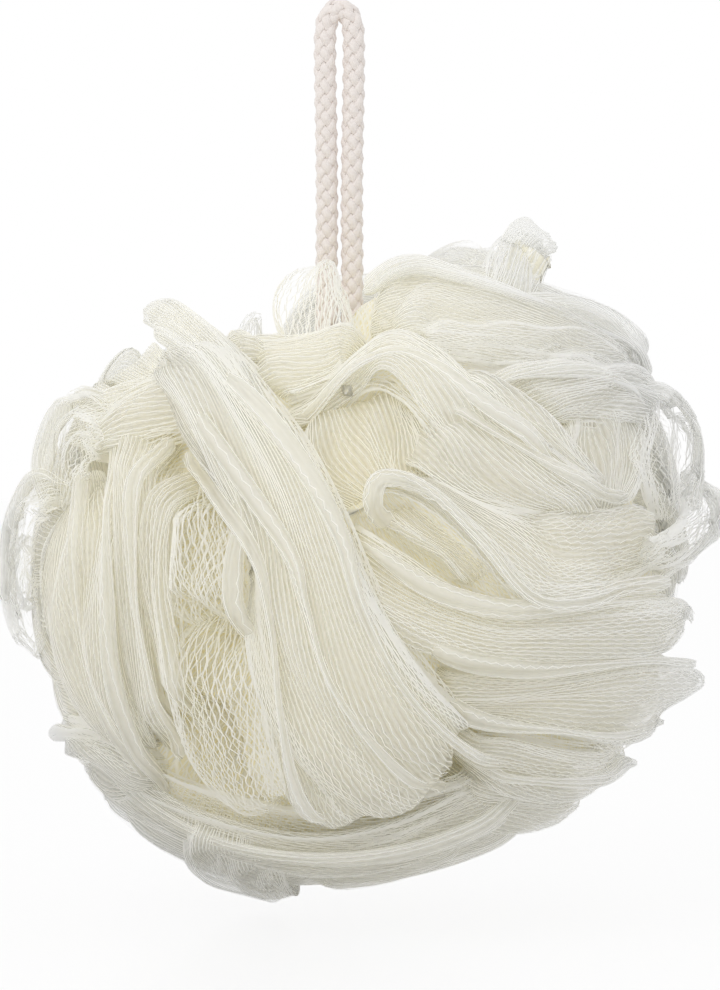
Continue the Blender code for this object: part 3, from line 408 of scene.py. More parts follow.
add_drape(
    "bottom_left",
    (-34,-39, -35,-47, -34.5,-54, -31.5,-60, -24,-65.5),
    (-29,-42, -29.5,-49, -28,-55, -25,-61, -19,-66),
    (-23,-45.5, -23.5,-51, -21.5,-56.5, -18.5,-61.5, -14,-65.5),
    (-15,-47, -16,-52, -15,-57, -13,-61, -9,-64.5),
    lifts=(-3, -1, -1, -4),
)
add_drape(
    "bottom_middle",
    (-12,-48, -3,-49, 6,-47, 14,-44, 21,-41.5),
    (-12,-52.5, -3,-53, 6,-51, 14,-48.5, 22,-46),
    (-12,-57, -3,-56.5, 6,-54.5, 15,-52, 22,-50),
    (-12,-60.5, -3,-59.5, 6,-57, 15,-55, 22,-53),
    lifts=(-5, -3, -3, -6),
)

# Folded edges of the sheets, which show as narrow bright bands: how far each stands out
# of the dome, its width and its points, in millimetres as above
RIMS = (
    (4.6, 2.6, (-30,42, -18.5,32.6, -9.3,21.2, -2.9,9.8, 0.7,-3, 7.8,-17.2, 17.8,-28.6, 30.6,-37.1)),
    (4.9, 2.4, (-36.3,39.8, -22.1,21.3, -12.1,7, -9.3,-3, -5,-17.2, 5,-31.5, 16.4,-41.4)),
    (4.4, 2.2, (-33.5,25, -19.2,8.4, -15.7,-5.8, -14.4,-22.9, -11.5,-38, -5,-47)),
    (2.2, 2.2, (-45.5,27, -46.5,12, -46,-2, -45,-16, -41,-30, -36,-40)),
    (2.4, 2.0, (-51,20, -52,6, -52,-6, -50,-18, -45.5,-28, -39,-37)),
    (3.2, 2.2, (-37,27, -40.5,18, -41,6, -40.5,-6, -38,-20, -34.5,-34)),
    (3.4, 2.0, (-29.5,26, -24.5,21, -21.5,13, -22.5,5, -22,-4, -18,-14)),
    (3.6, 2.4, (-12,33, -2,39.5, 6.5,42.5, 14,39.5, 22,33, 31,27, 41,20)),
    (2.6, 2.2, (12,38, 20,31, 29,25, 39,19, 49,15)),
    (2.0, 2.4, (1,53, 9,57.5, 19,55.5, 31,52, 43,48, 53,42, 56,36)),
    (1.8, 2.2, (20,36, 30,38, 41,38, 51,35, 56,31)),
    (2.6, 2.2, (-3,11, 5,5, 13,0, 24,-3.2, 36,-3.8, 48,-3.6, 59,-5)),
    (1.4, 2.2, (10,-9, 19,-13, 31,-14.8, 44,-15, 56,-16, 65,-20)),
    (1.4, 2.0, (14,-21, 24,-24.5, 36,-27, 48,-30, 58,-30)),
    (0.6, 2.2, (20,-33, 30,-36.5, 42,-38.5, 52,-37)),
    (0.5, 1.6, (-45,30, -52,33.5, -58,28, -60,20, -58,11)),
    (0.5, 1.6, (-54,17, -61,17.5, -66.3,9, -68.3,-3, -67.5,-11)),
    (0.5, 1.6, (52,33.5, 59,33, 65,26, 66,18, 63,11)),
    (0.5, 1.6, (63,18, 68.6,13.5, 68.8,8.5, 65,3, 56,-1.8)),
    (0.2, 2.4, (-50,-33, -40,-43.5, -26,-50, -10,-52, 6,-50.5, 20,-46, 32,-39)),
)

# Strands and film of a sheet: the strands' radius, their spacing round the tube and how much
# stouter an open net's are, the film's columns, how far it lies under the strands, and the
# least and most that it covers
STRAND_RADIUS = 0.0001
DRAPE_SPACING = 0.00066
OPEN_GAUGE = 1.25
FILM_COLUMNS = 37
FILM_DEPTH = 0.00014
FILM_COVER = (0.30, 0.72)

# Shape of a sheet: its stations' spacing, on top and where less is seen, how far from its
# ends it goes down, the length below which it does so less, and how strands crowd at its rims
DRAPE_STEP = 0.0015
UNDER_STEP = 0.0021
TUCK_LENGTH = 0.0130
SHORT_DRAPE = 0.0350
RIM_CROWDING = 0.55
RIM_FALL = 1.2
RIM_TUCKS = (7, 7)
RIM_OPEN = 0.15
USUAL_TUCKS = (12, 12)
USUAL_THICK = 1.2
MOST_THICK = 0.6
USUAL_SKEW = 0.03
USUAL_OPEN = 0.30

# Where a tucked end goes straight back and not to the middle, as a share of the way out to
# the ball's edge; how blunt an end is; how far a sheet's face leans to the viewer; and where
# a sheet from the side counts as in front
EDGE_FROM = 0.55
EDGE_OVER = 0.3
BLUNT_END = 0.04
FACING = 1.2
AHEAD_FROM = 0.10
AHEAD_OVER = 0.30

SEED = 7

# Crowding of the strands: how much, waves round the tube and waves along it
CROWDS = ((0.026, 3, 4), (0.009, 8, -6), (0.0035, 17, 9))

# Ripples of a sheet: height, length across it and waves along it. The bulge is its crown.
RIPPLES = ((0.0002, 0.0068, 4), (0.0009, 0.0125, 6))
BULGE = 0.0012

# The second layer below the sheets, and the sheets at the back
OVER_SPREAD = 1.14
UNDER_SPREAD = 1.25
UNDER_DEPTH = 0.0026
UNDER_SHRINK = 0.955
BACK_TURN = 38.0
BACK_EDGE = 0.0700
BACK_SHRINK = 0.88
BACK_DEPTH = 0.0010
BACK_UNDER_SPREAD = 1.35

# Inner layers: voxel size, and how far they lie in from the solid, all round and more at
# the back. The painted shade, a warm yellow standing for light lost deep among the layers,
# lies between two distances from a point beside the ball's middle.
INNER_STEP = 0.0017
SMOOTHINGS = 6
INNER_DEPTH = 0.0042
BACK_CLEARING = 0.0075
BEHIND_OVER = 0.45
SHADE_MIDDLE_SHIFT = np.array((-0.004, -0.014, 0.0))
SHADE_DEEP = 0.040
SHADE_SHALLOW = 0.066

# Where the netting is open to see into, at the sides and in front: right of and above the
# ball's middle, and how wide, and how far the inner layers are drawn in there
OPEN_LOBES = (
    (-0.0560, 0.0250, 0.0100), (-0.0650, 0.0040, 0.0110), (-0.0640, -0.0120, 0.0080),
    (0.0620, 0.0230, 0.0100), (0.0650, 0.0100, 0.0110), (-0.0270, 0.0060, 0.0110),
    (-0.0270, -0.0160, 0.0100), (-0.0240, -0.0300, 0.0100), (-0.0090, 0.0520, 0.0070),
)
LOBE_CLEARING = 0.0110

# Sheets at the sides: how far in they lie, how much more where they come to the front, and
# which are turned round from the front by each angle
SIDE_DEPTH = 0.0055
SIDE_SPREAD = 1.3
FRONT_CLEARING = 0.0160
SIDE_DRAPES = (
    (66.0, ("winding_ridge", "arch_band", "right_tongue_base", "bottom_middle")),
    (80.0, ("top_sheet", "right_tongue_middle")),
    (112.0, ("left_panel", "sweep")),
    (-66.0, ("left_panel", "tall_fold", "left_top", "lower_band")),
    (-95.0, ("sweep", "saddle")),
    (-115.0, ("winding_ridge", "arch_band", "right_tongue_middle", "right_tongue_base")),
    (-122.0, ("shoulder", "right_tongue_high")),
)

# Net over the inner layers: strands round the ball, steps along them, how wide its cells
# open, how far it stands off, how stout it is, and how near the poles its lines go by turns
CORE_LINES = 280
CORE_STEPS = 84
CORE_OPEN = 0.42
CORE_LIFT = 0.0003
CORE_GAUGE = 2.0
CORE_MARGIN = 4.0
CORE_ENDS = (0.14, 0.5, 0.28, 0.5)
OUTSIDE = 0.1

# Small helpers


def smooth_step(value):
    value = np.clip(value, 0.0, 1.0)
    return value * value * (3.0 - 2.0 * value)


def mix(a, b, share):
    return a + (b - a) * share


def unit(vectors):
    return vectors / np.maximum(np.linalg.norm(vectors, axis=-1, keepdims=True), 1e-12)


def flat_list(values, kind=np.float32):
    return np.ascontiguousarray(values, kind).ravel()


def mesh_piece(name, points, faces, material, uv=None, smooth=True):
    """A mesh object from numpy arrays of points and of equal-length faces."""
    mesh = bpy.data.meshes.new(name)
    count, corners = faces.shape
    mesh.vertices.add(len(points))
    mesh.vertices.foreach_set("co", flat_list(points))
    mesh.loops.add(count * corners)
    mesh.loops.foreach_set("vertex_index", flat_list(faces, np.int32))
    mesh.polygons.add(count)
    mesh.polygons.foreach_set("loop_start", np.arange(count, dtype=np.int32) * corners)
    mesh.polygons.foreach_set("use_smooth", np.full(count, smooth))
    if uv is not None:
        layer = mesh.uv_layers.new(name="along")
        layer.data.foreach_set("uv", flat_list(uv[faces.ravel()]))
    mesh.update(calc_edges=True)
    mesh.validate()
    mesh.materials.append(material)
    obj = bpy.data.objects.new(name, mesh)
    bpy.context.scene.collection.objects.link(obj)
    return obj


# Directions from the ball's middle


def rim_angle(azimuth):
    outward = np.cos(azimuth) * ACROSS[1] + np.sin(azimuth) * UPWARD[1]
    return np.arctan2(-POLE[1], outward)


def direction(polar, azimuth):
    polar, azimuth = np.broadcast_arrays(polar, azimuth)
    sine = np.sin(polar)
    along = (sine * np.cos(azimuth), sine * np.sin(azimuth), np.cos(polar))
    return np.stack(along, axis=-1) @ np.array((ACROSS, UPWARD, POLE))


def swirled(polar, azimuth):
    rim = rim_angle(azimuth)
    side = np.cos(azimuth - math.radians(SWIRL_SIDE))
    amount = math.radians(SWIRL) + math.radians(SWIRL_SWING) * side
    return azimuth + amount * (polar - rim) / rim


def cleared(points):
    """Inner points drawn in behind the open lobes, where light comes through the net."""
    beside = 0.0
    for right, above, spread in OPEN_LOBES:
        away = np.hypot(points[..., 0] - CENTRE[0] - right, points[..., 2] - CENTRE[2] - above)
        beside = np.maximum(beside, np.exp(-((away / spread) ** 4)))
    return points - unit(points - CENTRE) * (LOBE_CLEARING * beside)[..., None]


# Strands


def strand_mesh(lines):
    """Flat strands, each a line, the way that it faces and how stout it is."""
    points = []
    quads = []
    start = 0
    for line, facing, gauge in lines:
        tangent = unit(np.gradient(line, axis=0))
        across = gauge * STRAND_RADIUS * unit(np.cross(tangent, facing))
        count = len(line)
        points.append(np.stack((line - across, line + across), axis=1).reshape(-1, 3))
        base = start + 2 * np.arange(count - 1)
        quads.append(np.stack((base, base + 1, base + 3, base + 2), axis=-1))
        start += 2 * count
    return np.concatenate(points), np.concatenate(quads)


def grid_faces(columns, rows, first):
    """Quads between the columns of a grid of points, column after column."""
    j = np.arange(columns - 1)[:, None]
    k = np.arange(rows - 1)[None, :]
    corner = first + j * rows + k
    faces = np.stack((corner, corner + 1, corner + rows + 1, corner + rows), axis=-1)
    return faces.reshape(-1, 4)


def spline_weights(places, count):
    """Catmull-Rom weights of count knots, at places measured in knots."""
    places = np.clip(places, 0.0, count - 1.0)
    first = np.clip(np.floor(places).astype(int), 0, count - 2)
    t = places - first
    cubic = (
        0.5 * (-t + 2 * t**2 - t**3),
        0.5 * (2 - 5 * t**2 + 3 * t**3),
        0.5 * (t + 4 * t**2 - 3 * t**3),
        0.5 * (-(t**2) + t**3),
    )
    weights = np.zeros((len(places), count + 2))
    rows = np.arange(len(places))
    for shift, weight in enumerate(cubic):
        weights[rows, first + shift] += weight
    # The knots past the ends carry on straight from the last two.
    weights[:, 1] += 2 * weights[:, 0]
    weights[:, 2] -= weights[:, 0]
    weights[:, count] += 2 * weights[:, count + 1]
    weights[:, count - 1] -= weights[:, count + 1]
    return weights[:, 1 : count + 1]


def drape_form(
    drape, rng, sunk=0.0, spread=1.0, step=DRAPE_STEP, shrink=1.0, side=-1.0, yaw=0.0
):
    """What a drape's points are worked out from: its lines, normals, width and girth.

    side is -1 on the front. On the back, at 1, the sheets turn about the ball's middle."""
    seen = np.array([np.reshape(line, (-1, 2)) for line in drape["lines"]], float) / 1000
    seen = shrink * (seen.mean(axis=0) + spread * (seen - seen.mean(axis=0)))
    if side > 0:
        share = np.clip(np.hypot(seen[..., 0], seen[..., 1]) / BACK_EDGE, 0.0, 1.0)
        turn = math.radians(BACK_TURN) * (1 - share**2)
        right, above = seen[..., 0], seen[..., 1]
        turned = right * np.cos(turn) - above * np.sin(turn)
        seen = np.stack((turned, right * np.sin(turn) + above * np.cos(turn)), axis=-1)
    lift = np.array(drape["lifts"], dtype=float)[:, None] / 1000 - sunk
    away = np.hypot(seen[..., 0], seen[..., 1])
    out = np.sqrt(np.clip(DOME_RADIUS**2 - away**2, 0.0, None)) + lift
    knots = np.stack((seen[..., 0], side * out, seen[..., 1]), axis=-1) + CENTRE
    count, marks = knots.shape[:2]
    run = np.linalg.norm(np.diff(knots, axis=1), axis=2).sum(axis=1).mean()
    stations = max(8, int(round(run / step)))
    along = spline_weights(np.linspace(0, marks - 1, stations), marks)
    guides = np.einsum("gpk,np->gnk", knots, along)
    # Both ends go down among the inner layers.
    share = np.linspace(0.0, 1.0, stations)
    starting, ending = drape.get("tucks", USUAL_TUCKS)
    tuck_length = max(min(TUCK_LENGTH, 0.25 * run), drape.get("slope", 0) / 1000)
    tuck = starting * smooth_step(1 - share * run / tuck_length)
    tuck = tuck + ending * smooth_step(1 - (1 - share) * run / tuck_length)
    tuck = tuck * min(1.0, run / SHORT_DRAPE)
    inward = unit(CENTRE - guides)
    aside = np.hypot(inward[..., 0], inward[..., 2])
    beside = smooth_step((aside - EDGE_FROM) / EDGE_OVER)[..., None]
    inward = unit(mix(inward, np.array((0.0, -side, 0.0)), beside))
    guides = guides + inward * tuck[:, None] / 1000
    # Each end is rounded off over half the sheet's width.
    across = np.linalg.norm(np.diff(guides, axis=0), axis=2).sum(axis=0).mean()
    from_end = np.minimum(share, 1 - share) * run / (0.5 * across)
    rounded = np.sqrt(1 - (1 - np.clip(from_end, BLUNT_END, 1.0)) ** 2)[:, None]
    middle = guides.mean(axis=0)
    guides = middle + rounded * (guides - middle)
    across = spline_weights(np.linspace(0, count - 1, 4 * count - 3), count)
    sheet = np.einsum("vg,gnk->vnk", across, guides)
    width = np.linalg.norm(np.diff(sheet, axis=0), axis=2).sum(axis=0)
    heading = unit(np.gradient(sheet, axis=1))
    normal = unit(np.cross(np.gradient(sheet, axis=0), heading))
    outward = unit(sheet - CENTRE) + np.array((0.0, FACING * side, 0.0))
    normal *= np.sign(np.sum(normal * outward, axis=-1, keepdims=True))
    cos, sin = math.cos(yaw), math.sin(yaw)
    level = np.array(((cos, sin, 0.0), (-sin, cos, 0.0), (0.0, 0.0, 1.0)))
    guides = (guides - CENTRE) @ level + CENTRE
    normal = normal @ level
    if yaw:
        # What comes round to the front goes in under the sheets there.
        ahead = smooth_step((-unit(guides - CENTRE)[..., 1:2] - AHEAD_FROM) / AHEAD_OVER)
        guides = guides - unit(guides - CENTRE) * FRONT_CLEARING * ahead
    thick = np.minimum(drape.get("thick", USUAL_THICK) / 1000, MOST_THICK * width)
    girth = 2 * (width - thick) + math.pi * thick
    phase = rng.uniform(0, 2 * math.pi, 8)
    strands = int(round(girth.max() / DRAPE_SPACING / drape.get("net", 1.0)))
    return SimpleNamespace(
        drape=drape, guides=guides, normal=normal, width=width, thick=thick, girth=girth,
        share=share, run=run, phase=phase, strands=strands,
    )


def rim_drape(rim):
    """A narrow drape along a folded edge of a sheet."""
    lift, width, route = rim
    middle = np.reshape(np.array(route, dtype=float), (-1, 2))
    heading = unit(np.gradient(middle, axis=0))
    aside = np.stack((-heading[:, 1], heading[:, 0]), axis=-1) * width / 2
    return {
        "lifts": (lift - RIM_FALL, lift, lift - RIM_FALL),
        "tucks": RIM_TUCKS,
        "open": RIM_OPEN,
        "spread": 1.0,
        "rim": True,
        "lines": (middle - aside, middle, middle + aside),
    }


def bunched(form, turn):
    """How far the strands crowd together round the tube, as a share of its girth."""
    bunch = 0.0
    for (amount, around, along), phase in zip(CROWDS, form.phase):
        bunch = bunch + amount * np.sin(around * turn + along * form.share + phase)
    # They also crowd into the rims.
    return bunch - RIM_CROWDING * np.sin(2 * turn) / (4 * math.pi)


def on_drape(form, place):
    """Points at the given shares of the way round the flattened tube, station by station."""
    walk = (place % 1.0) * form.girth
    flat = form.width - form.thick
    half = form.thick / 2
    arc = math.pi * half
    far = np.clip((walk - flat) / half, 0, math.pi)
    back = np.clip(walk - flat - arc, 0, flat)
    near = np.clip((walk - 2 * flat - arc) / half, 0, math.pi)
    front = np.clip(walk, 0, flat)
    spot = half + front - back + half * (np.sin(far) - np.sin(near))
    depth = half * ((1 - np.cos(far)) - (1 - np.cos(near)))
    crossing = np.clip(spot / form.width, 0, 1)
    crown = 0.0
    for (height, length, along), phase in zip(RIPPLES, form.phase[5:]):
        crown = crown + height * np.sin(2 * math.pi * spot / length + along * form.share + phase)
    crown = crown + BULGE * np.sin(math.pi * crossing)
    placed = []
    for values in (form.guides, form.normal):
        count = len(values)
        weights = spline_weights((crossing * (count - 1)).ravel(), count)
        weights = weights.reshape(walk.shape + (count,))
        placed.append(np.einsum("...ng,gnk->...nk", weights, values))
    line, lean = placed
    lean = unit(lean)
    return line + lean * (crown - depth)[..., None], lean


def drape_strands(form):
    """The strands of one drape: round its flattened tube, opening into diamond cells."""
    flip = np.where(np.arange(len(form.share)) % 2 == 0, 1.0, -1.0)
    skew = form.drape.get("skew", USUAL_SKEW)
    wide_open = form.drape.get("open", USUAL_OPEN)
    number = np.arange(form.strands)[:, None]
    round_tube = number / form.strands + skew * form.share
    turn = 2 * math.pi * round_tube
    flare = mix(1.0, form.drape.get("flare", 1.0), smooth_step(form.share / 0.5 - 1))
    opened = wide_open * flare * (0.85 + 0.25 * np.sin(2 * turn + 5 * form.share + form.phase[3]))
    opened = opened + 0.08 * np.sin(7 * turn + 13 * form.share + form.phase[4])
    side = np.where(number % 2 == 0, -0.5, 0.5)
    place = round_tube + bunched(form, turn) + flip * side * opened / form.strands
    gauge = OPEN_GAUGE if "net" in form.drape else 1.0
    return [(line, lean, gauge) for line, lean in zip(*on_drape(form, place))]


def drape_film(form):
    """The drape's cloth between the strands: a grid of points and its UV, in strands
    across and in centimetres along."""
    around = np.linspace(0.0, 1.0, FILM_COLUMNS)[:, None] * np.ones_like(form.share)
    skew = form.drape.get("skew", USUAL_SKEW)
    turn = 2 * math.pi * (around + skew * form.share)
    place = around + skew * form.share + bunched(form, turn)
    points, _ = on_drape(form, place)
    # The film lies just under its strands.
    points = points + unit(CENTRE - points) * FILM_DEPTH
    v = 100 * form.run * form.share * np.ones_like(around)
    return points, np.stack((around * form.strands, v), axis=-1)


def film_piece(name, films, material):
    points = []
    faces = []
    uv = []
    start = 0
    for grid, places in films:
        columns, rows = grid.shape[:2]
        points.append(grid.reshape(-1, 3))
        uv.append(places.reshape(-1, 2))
        faces.append(grid_faces(columns, rows, start))
        start += columns * rows
    points, faces, uv = map(np.concatenate, (points, faces, uv))
    return mesh_piece(name, points, faces, material, uv)


def netting_pieces(strand_material, film_material):
    """The netting's sheets: fine strands with a film of the layers' cloth just below."""
    rng = np.random.default_rng(SEED)
    over = []
    under = []
    behind = []
    below = []
    for drape in (*DRAPES.values(), *map(rim_drape, RIMS)):
        layered = "net" not in drape and not drape.get("rim")
        spread = drape.get("spread", 1.0 if "net" in drape else OVER_SPREAD)
        over.append(drape_form(drape, rng, spread=spread))
        if layered:
            lower = (UNDER_DEPTH, UNDER_SPREAD, UNDER_STEP, UNDER_SHRINK)
            under.append(drape_form(drape, rng, *lower))
        behind.append(drape_form(drape, rng, BACK_DEPTH, spread, UNDER_STEP, BACK_SHRINK, 1.0))
        if layered:
            lower = (BACK_DEPTH + UNDER_DEPTH, BACK_UNDER_SPREAD, UNDER_STEP, BACK_SHRINK, 1.0)
            below.append(drape_form(drape, rng, *lower))
    for yaw, names in SIDE_DRAPES:
        turned = (SIDE_DEPTH, SIDE_SPREAD, UNDER_STEP, BACK_SHRINK, -1.0, math.radians(yaw))
        behind += [drape_form(DRAPES[name], rng, *turned) for name in names]
    half = len(over) // 2
    pieces = []
    for number, forms in enumerate((over[:half], over[half:], under, behind, below)):
        points, quads = strand_mesh([line for form in forms for line in drape_strands(form)])
        name = f"netting_strands_{number + 1}"
        pieces.append(mesh_piece(name, points, quads, strand_material, smooth=False))
    for name, forms in (("front_cloth", over), ("back_cloth", behind)):
        cloth = [drape_film(form) for form in forms if "net" not in form.drape]
        pieces.append(film_piece(name, cloth, film_material))
    return pieces


# Inner layers


def inner_netting(material):
    """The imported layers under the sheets: the solid itself, made finer, smoothed and
    drawn in. Its UV map runs round and along the folds, in centimetres."""
    inner = bpy.data.objects.new("inner_layers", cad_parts["mesh_netting"].data.copy())
    bpy.context.scene.collection.objects.link(inner)
    finer = inner.modifiers.new("finer", "REMESH")
    finer.mode = "VOXEL"
    finer.voxel_size = INNER_STEP
    calmer = inner.modifiers.new("calmer", "SMOOTH")
    calmer.factor = 0.5
    calmer.iterations = SMOOTHINGS
    lower = inner.modifiers.new("lower", "DISPLACE")
    lower.strength = -INNER_DEPTH
    lower.mid_level = 0.0
    graph = bpy.context.evaluated_depsgraph_get()
    shape = bpy.data.meshes.new_from_object(inner.evaluated_get(graph))
    inner.modifiers.clear()
    inner.data = shape
    shape.materials.clear()
    shape.materials.append(material)
    shape.polygons.foreach_set("use_smooth", np.ones(len(shape.polygons), dtype=bool))
    points = np.empty(3 * len(shape.vertices), np.float32)
    shape.vertices.foreach_get("co", points)
    points = cleared(points.reshape(-1, 3).astype(float))
    behind = smooth_step(unit(points - CENTRE)[:, 1:2] / BEHIND_OVER)
    points = points - unit(points - CENTRE) * BACK_CLEARING * behind
    shape.vertices.foreach_set("co", flat_list(points))
    away = unit(points - CENTRE)
    polar = np.arccos(np.clip(away @ POLE, -1.0, 1.0))
    azimuth = np.arctan2(away @ UPWARD, away @ ACROSS)
    uv = 100 * BALL_RADIUS * np.stack((azimuth, polar), axis=-1)
    corners = np.empty(len(shape.loops), np.int32)
    shape.loops.foreach_get("vertex_index", corners)
    layer = shape.uv_layers.new(name="along")
    layer.data.foreach_set("uv", flat_list(uv[corners]))
    return inner


def core_strands(core, material):
    """Net over the inner layers, found by looking in at them from outside."""
    shape = core.data
    tree = BVHTree.FromPolygons(
        [point.co for point in shape.vertices], [face.vertices for face in shape.polygons]
    )
    polar = np.radians(np.linspace(CORE_MARGIN, 180.0 - CORE_MARGIN, CORE_STEPS))
    flip = np.where(np.arange(CORE_STEPS) % 2 == 0, 1.0, -1.0)
    lines = []
    for number in range(CORE_LINES):
        # Lines end short of the poles by turns, so that they don't crowd there.
        kept = np.flatnonzero(np.sin(polar) > CORE_ENDS[number % 4])
        side = CORE_OPEN if number % 2 else -CORE_OPEN
        azimuth = (number + flip * side) * 2 * math.pi / CORE_LINES
        line = []
        facing = []
        for way in direction(polar, swirled(polar, azimuth))[kept]:
            hit, normal, _, _ = tree.ray_cast(Vector(CENTRE + OUTSIDE * way), Vector(-way))
            if hit is None:
                continue
            line.append(np.array(hit) + CORE_LIFT * way)
            facing.append(np.array(normal))
        lines.append((np.array(line), np.array(facing), CORE_GAUGE))
    points, quads = strand_mesh(lines)
    return mesh_piece("inner_strands", points, quads, material, smooth=False)


# Cord


def smooth_route(points, step):
    """Points about one step apart on a smooth curve through the given ones."""
    points = np.array(points, dtype=float)
    padded = np.vstack((2 * points[0] - points[1], points, 2 * points[-1] - points[-2]))
    dense = []
    for before, start, end, after in zip(padded, padded[1:], padded[2:], padded[3:]):
        for t in np.linspace(0, 1, ROUTE_CUTS, endpoint=False):
            curved = 2 * before - 5 * start + 4 * end - after
            cubed = 3 * start - before - 3 * end + after
            dense.append(start + 0.5 * ((end - before) * t + curved * t**2 + cubed * t**3))
    dense.append(points[-1])
    dense = np.array(dense)
    run = np.append(0.0, np.cumsum(np.linalg.norm(np.diff(dense, axis=0), axis=1)))
    marks = np.linspace(0.0, run[-1], round(run[-1] / step) + 1)
    return np.column_stack([np.interp(marks, run, dense[:, axis]) for axis in range(3)]), marks


def braid(name, path, marks, material):
    """A round braid of eight flat strands, four each way, along the path."""
    tangent = unit(np.gradient(path, axis=0))
    front = np.array((0.0, -1.0, 0.0))
    side = unit(np.cross(tangent, front))
    ahead = np.cross(side, tangent)
    turn = 2 * math.pi / BRAID_TURN * marks
    sides = BRAID_SIDES
    around = np.arange(sides) * 2 * math.pi / sides
    points = []
    faces = []
    for way in (1.0, -1.0):
        for number in range(BRAID_WAYS):
            lie = np.cos(BRAID_WAYS * turn) * way
            sway = BRAID_SWAY * np.sin(BRAID_WAYS * turn) * way
            angle = way * (turn - sway) + number * math.pi / 2
            radial = np.cos(angle)[:, None] * side + np.sin(angle)[:, None] * ahead
            middle = path + radial * (BRAID_RADIUS + BRAID_LIFT * lie)[:, None]
            heading = unit(np.gradient(middle, axis=0))
            broad = unit(np.cross(heading, radial))
            thick = np.cross(broad, heading)
            ring = (
                middle[:, None]
                + BRAID_HALF_WIDTH * np.cos(around)[None, :, None] * broad[:, None]
                + BRAID_HALF_THICKNESS * np.sin(around)[None, :, None] * thick[:, None]
            )
            base = sum(len(block) for block in points)
            points.append(ring.reshape(-1, 3))
            k = np.arange(len(path) - 1)[:, None] * sides + base
            j = np.arange(sides)
            after = (j + 1) % sides
            faces.append(
                np.stack((k + j, k + after, k + sides + after, k + sides + j), -1).reshape(-1, 4)
            )
    return mesh_piece(name, np.concatenate(points), np.concatenate(faces), material)


# Materials


def wire(tree, node, inputs):
    """Sets sockets of a node, each to a value or to another node's output."""
    for socket, value in inputs.items():
        if isinstance(value, bpy.types.NodeSocket):
            tree.links.new(value, node.inputs[socket])
        else:
            node.inputs[socket].default_value = value


def add_node(tree, kind, inputs=None, **settings):
    node = tree.nodes.new("ShaderNode" + kind)
    for name, value in settings.items():
        setattr(node, name, value)
    wire(tree, node, inputs or {})
    return node


def calculated(tree, operation, *terms, clamp=False):
    terms = dict(enumerate(terms))
    return add_node(tree, "Math", terms, operation=operation, use_clamp=clamp).outputs[0]


def mixed(tree, share, first, second):
    return add_node(tree, "MixShader", {"Fac": share, 1: first, 2: second}).outputs[0]


def two_tones(tree, share, low, high, places=(0.0, 1.0)):
    """A colour between two, by a share."""
    ramp = add_node(tree, "ValToRGB", {"Fac": share})
    for element, place, colour in zip(ramp.color_ramp.elements, places, (low, high)):
        element.position = place
        element.color = (*colour, 1.0)
    return ramp.outputs["Color"]


def new_material(name, roughness, specular=0.5):
    material = bpy.data.materials.new(name)
    material.use_nodes = True
    tree = material.node_tree
    shader = tree.nodes["Principled BSDF"]
    wire(tree, shader, {"Roughness": roughness, "Specular IOR Level": specular})
    return material, tree, shader


def finished(material, surface):
    tree = material.node_tree
    wire(tree, tree.nodes["Material Output"], {"Surface": surface})
    return material


def bumped(tree, shader, height, strength, distance):
    values = {"Height": height, "Strength": strength, "Distance": distance}
    wire(tree, shader, {"Normal": add_node(tree, "Bump", values).outputs["Normal"]})


def lit_through(tree, shader, colour, share):
    """The shader, with a share of light that comes through from behind."""
    through = add_node(tree, "BsdfTranslucent", {"Color": colour})
    wire(tree, shader, {"Base Color": colour})
    return mixed(tree, share, shader.outputs[0], through.outputs[0])


def painted_depth_shade(tree):
    """Painted shade: 0 at the depth of the valleys, where it is warmest, and 1 at the outside, from
    the distance to the middle.
    """
    ends = {0: add_node(tree, "TexCoord").outputs["Object"], 1: tuple(CENTRE + SHADE_MIDDLE_SHIFT)}
    away = add_node(tree, "VectorMath", ends, operation="DISTANCE").outputs["Value"]
    span = {"Value": away, "From Min": SHADE_DEEP, "From Max": SHADE_SHALLOW}
    return add_node(tree, "MapRange", span).outputs["Result"]


def netting_material():
    """Cream-white plastic strands, with painted shade: a little yellower deep in the folds."""
    material, tree, shader = new_material("netting_strand", 0.45, 0.35)
    # Painted shade: the strands turn a little yellower deep in the folds, where the layers hold the
    # light.
    colour = two_tones(tree, painted_depth_shade(tree), (0.99, 0.98, 0.92), (0.985, 0.985, 0.98))
    return finished(material, lit_through(tree, shader, colour, 0.45))


def film_material():
    """Sheer netting cloth: fine lines along the strands, with light coming through, and painted shade
    that is yellower deep in the folds.
    """
    material, tree, shader = new_material("netting_film", 0.6, 0.2)
    where = add_node(tree, "UVMap", uv_map="along").outputs["UV"]
    across = add_node(tree, "SeparateXYZ", {0: where}).outputs["X"]
    least, most = FILM_COVER
    span = {"From Min": 0.0, "From Max": 0.5, "To Min": most, "To Max": least}
    from_line = calculated(tree, "PINGPONG", across, 0.5)
    cover = add_node(tree, "MapRange", {"Value": from_line, **span}).outputs["Result"]
    # Painted shade: the film turns yellower deep in the folds.
    colour = two_tones(tree, painted_depth_shade(tree), (0.99, 0.97, 0.88), (0.985, 0.985, 0.97))
    clear = add_node(tree, "BsdfTransparent").outputs[0]
    body = lit_through(tree, shader, colour, 0.55)
    return finished(material, mixed(tree, cover, clear, body))


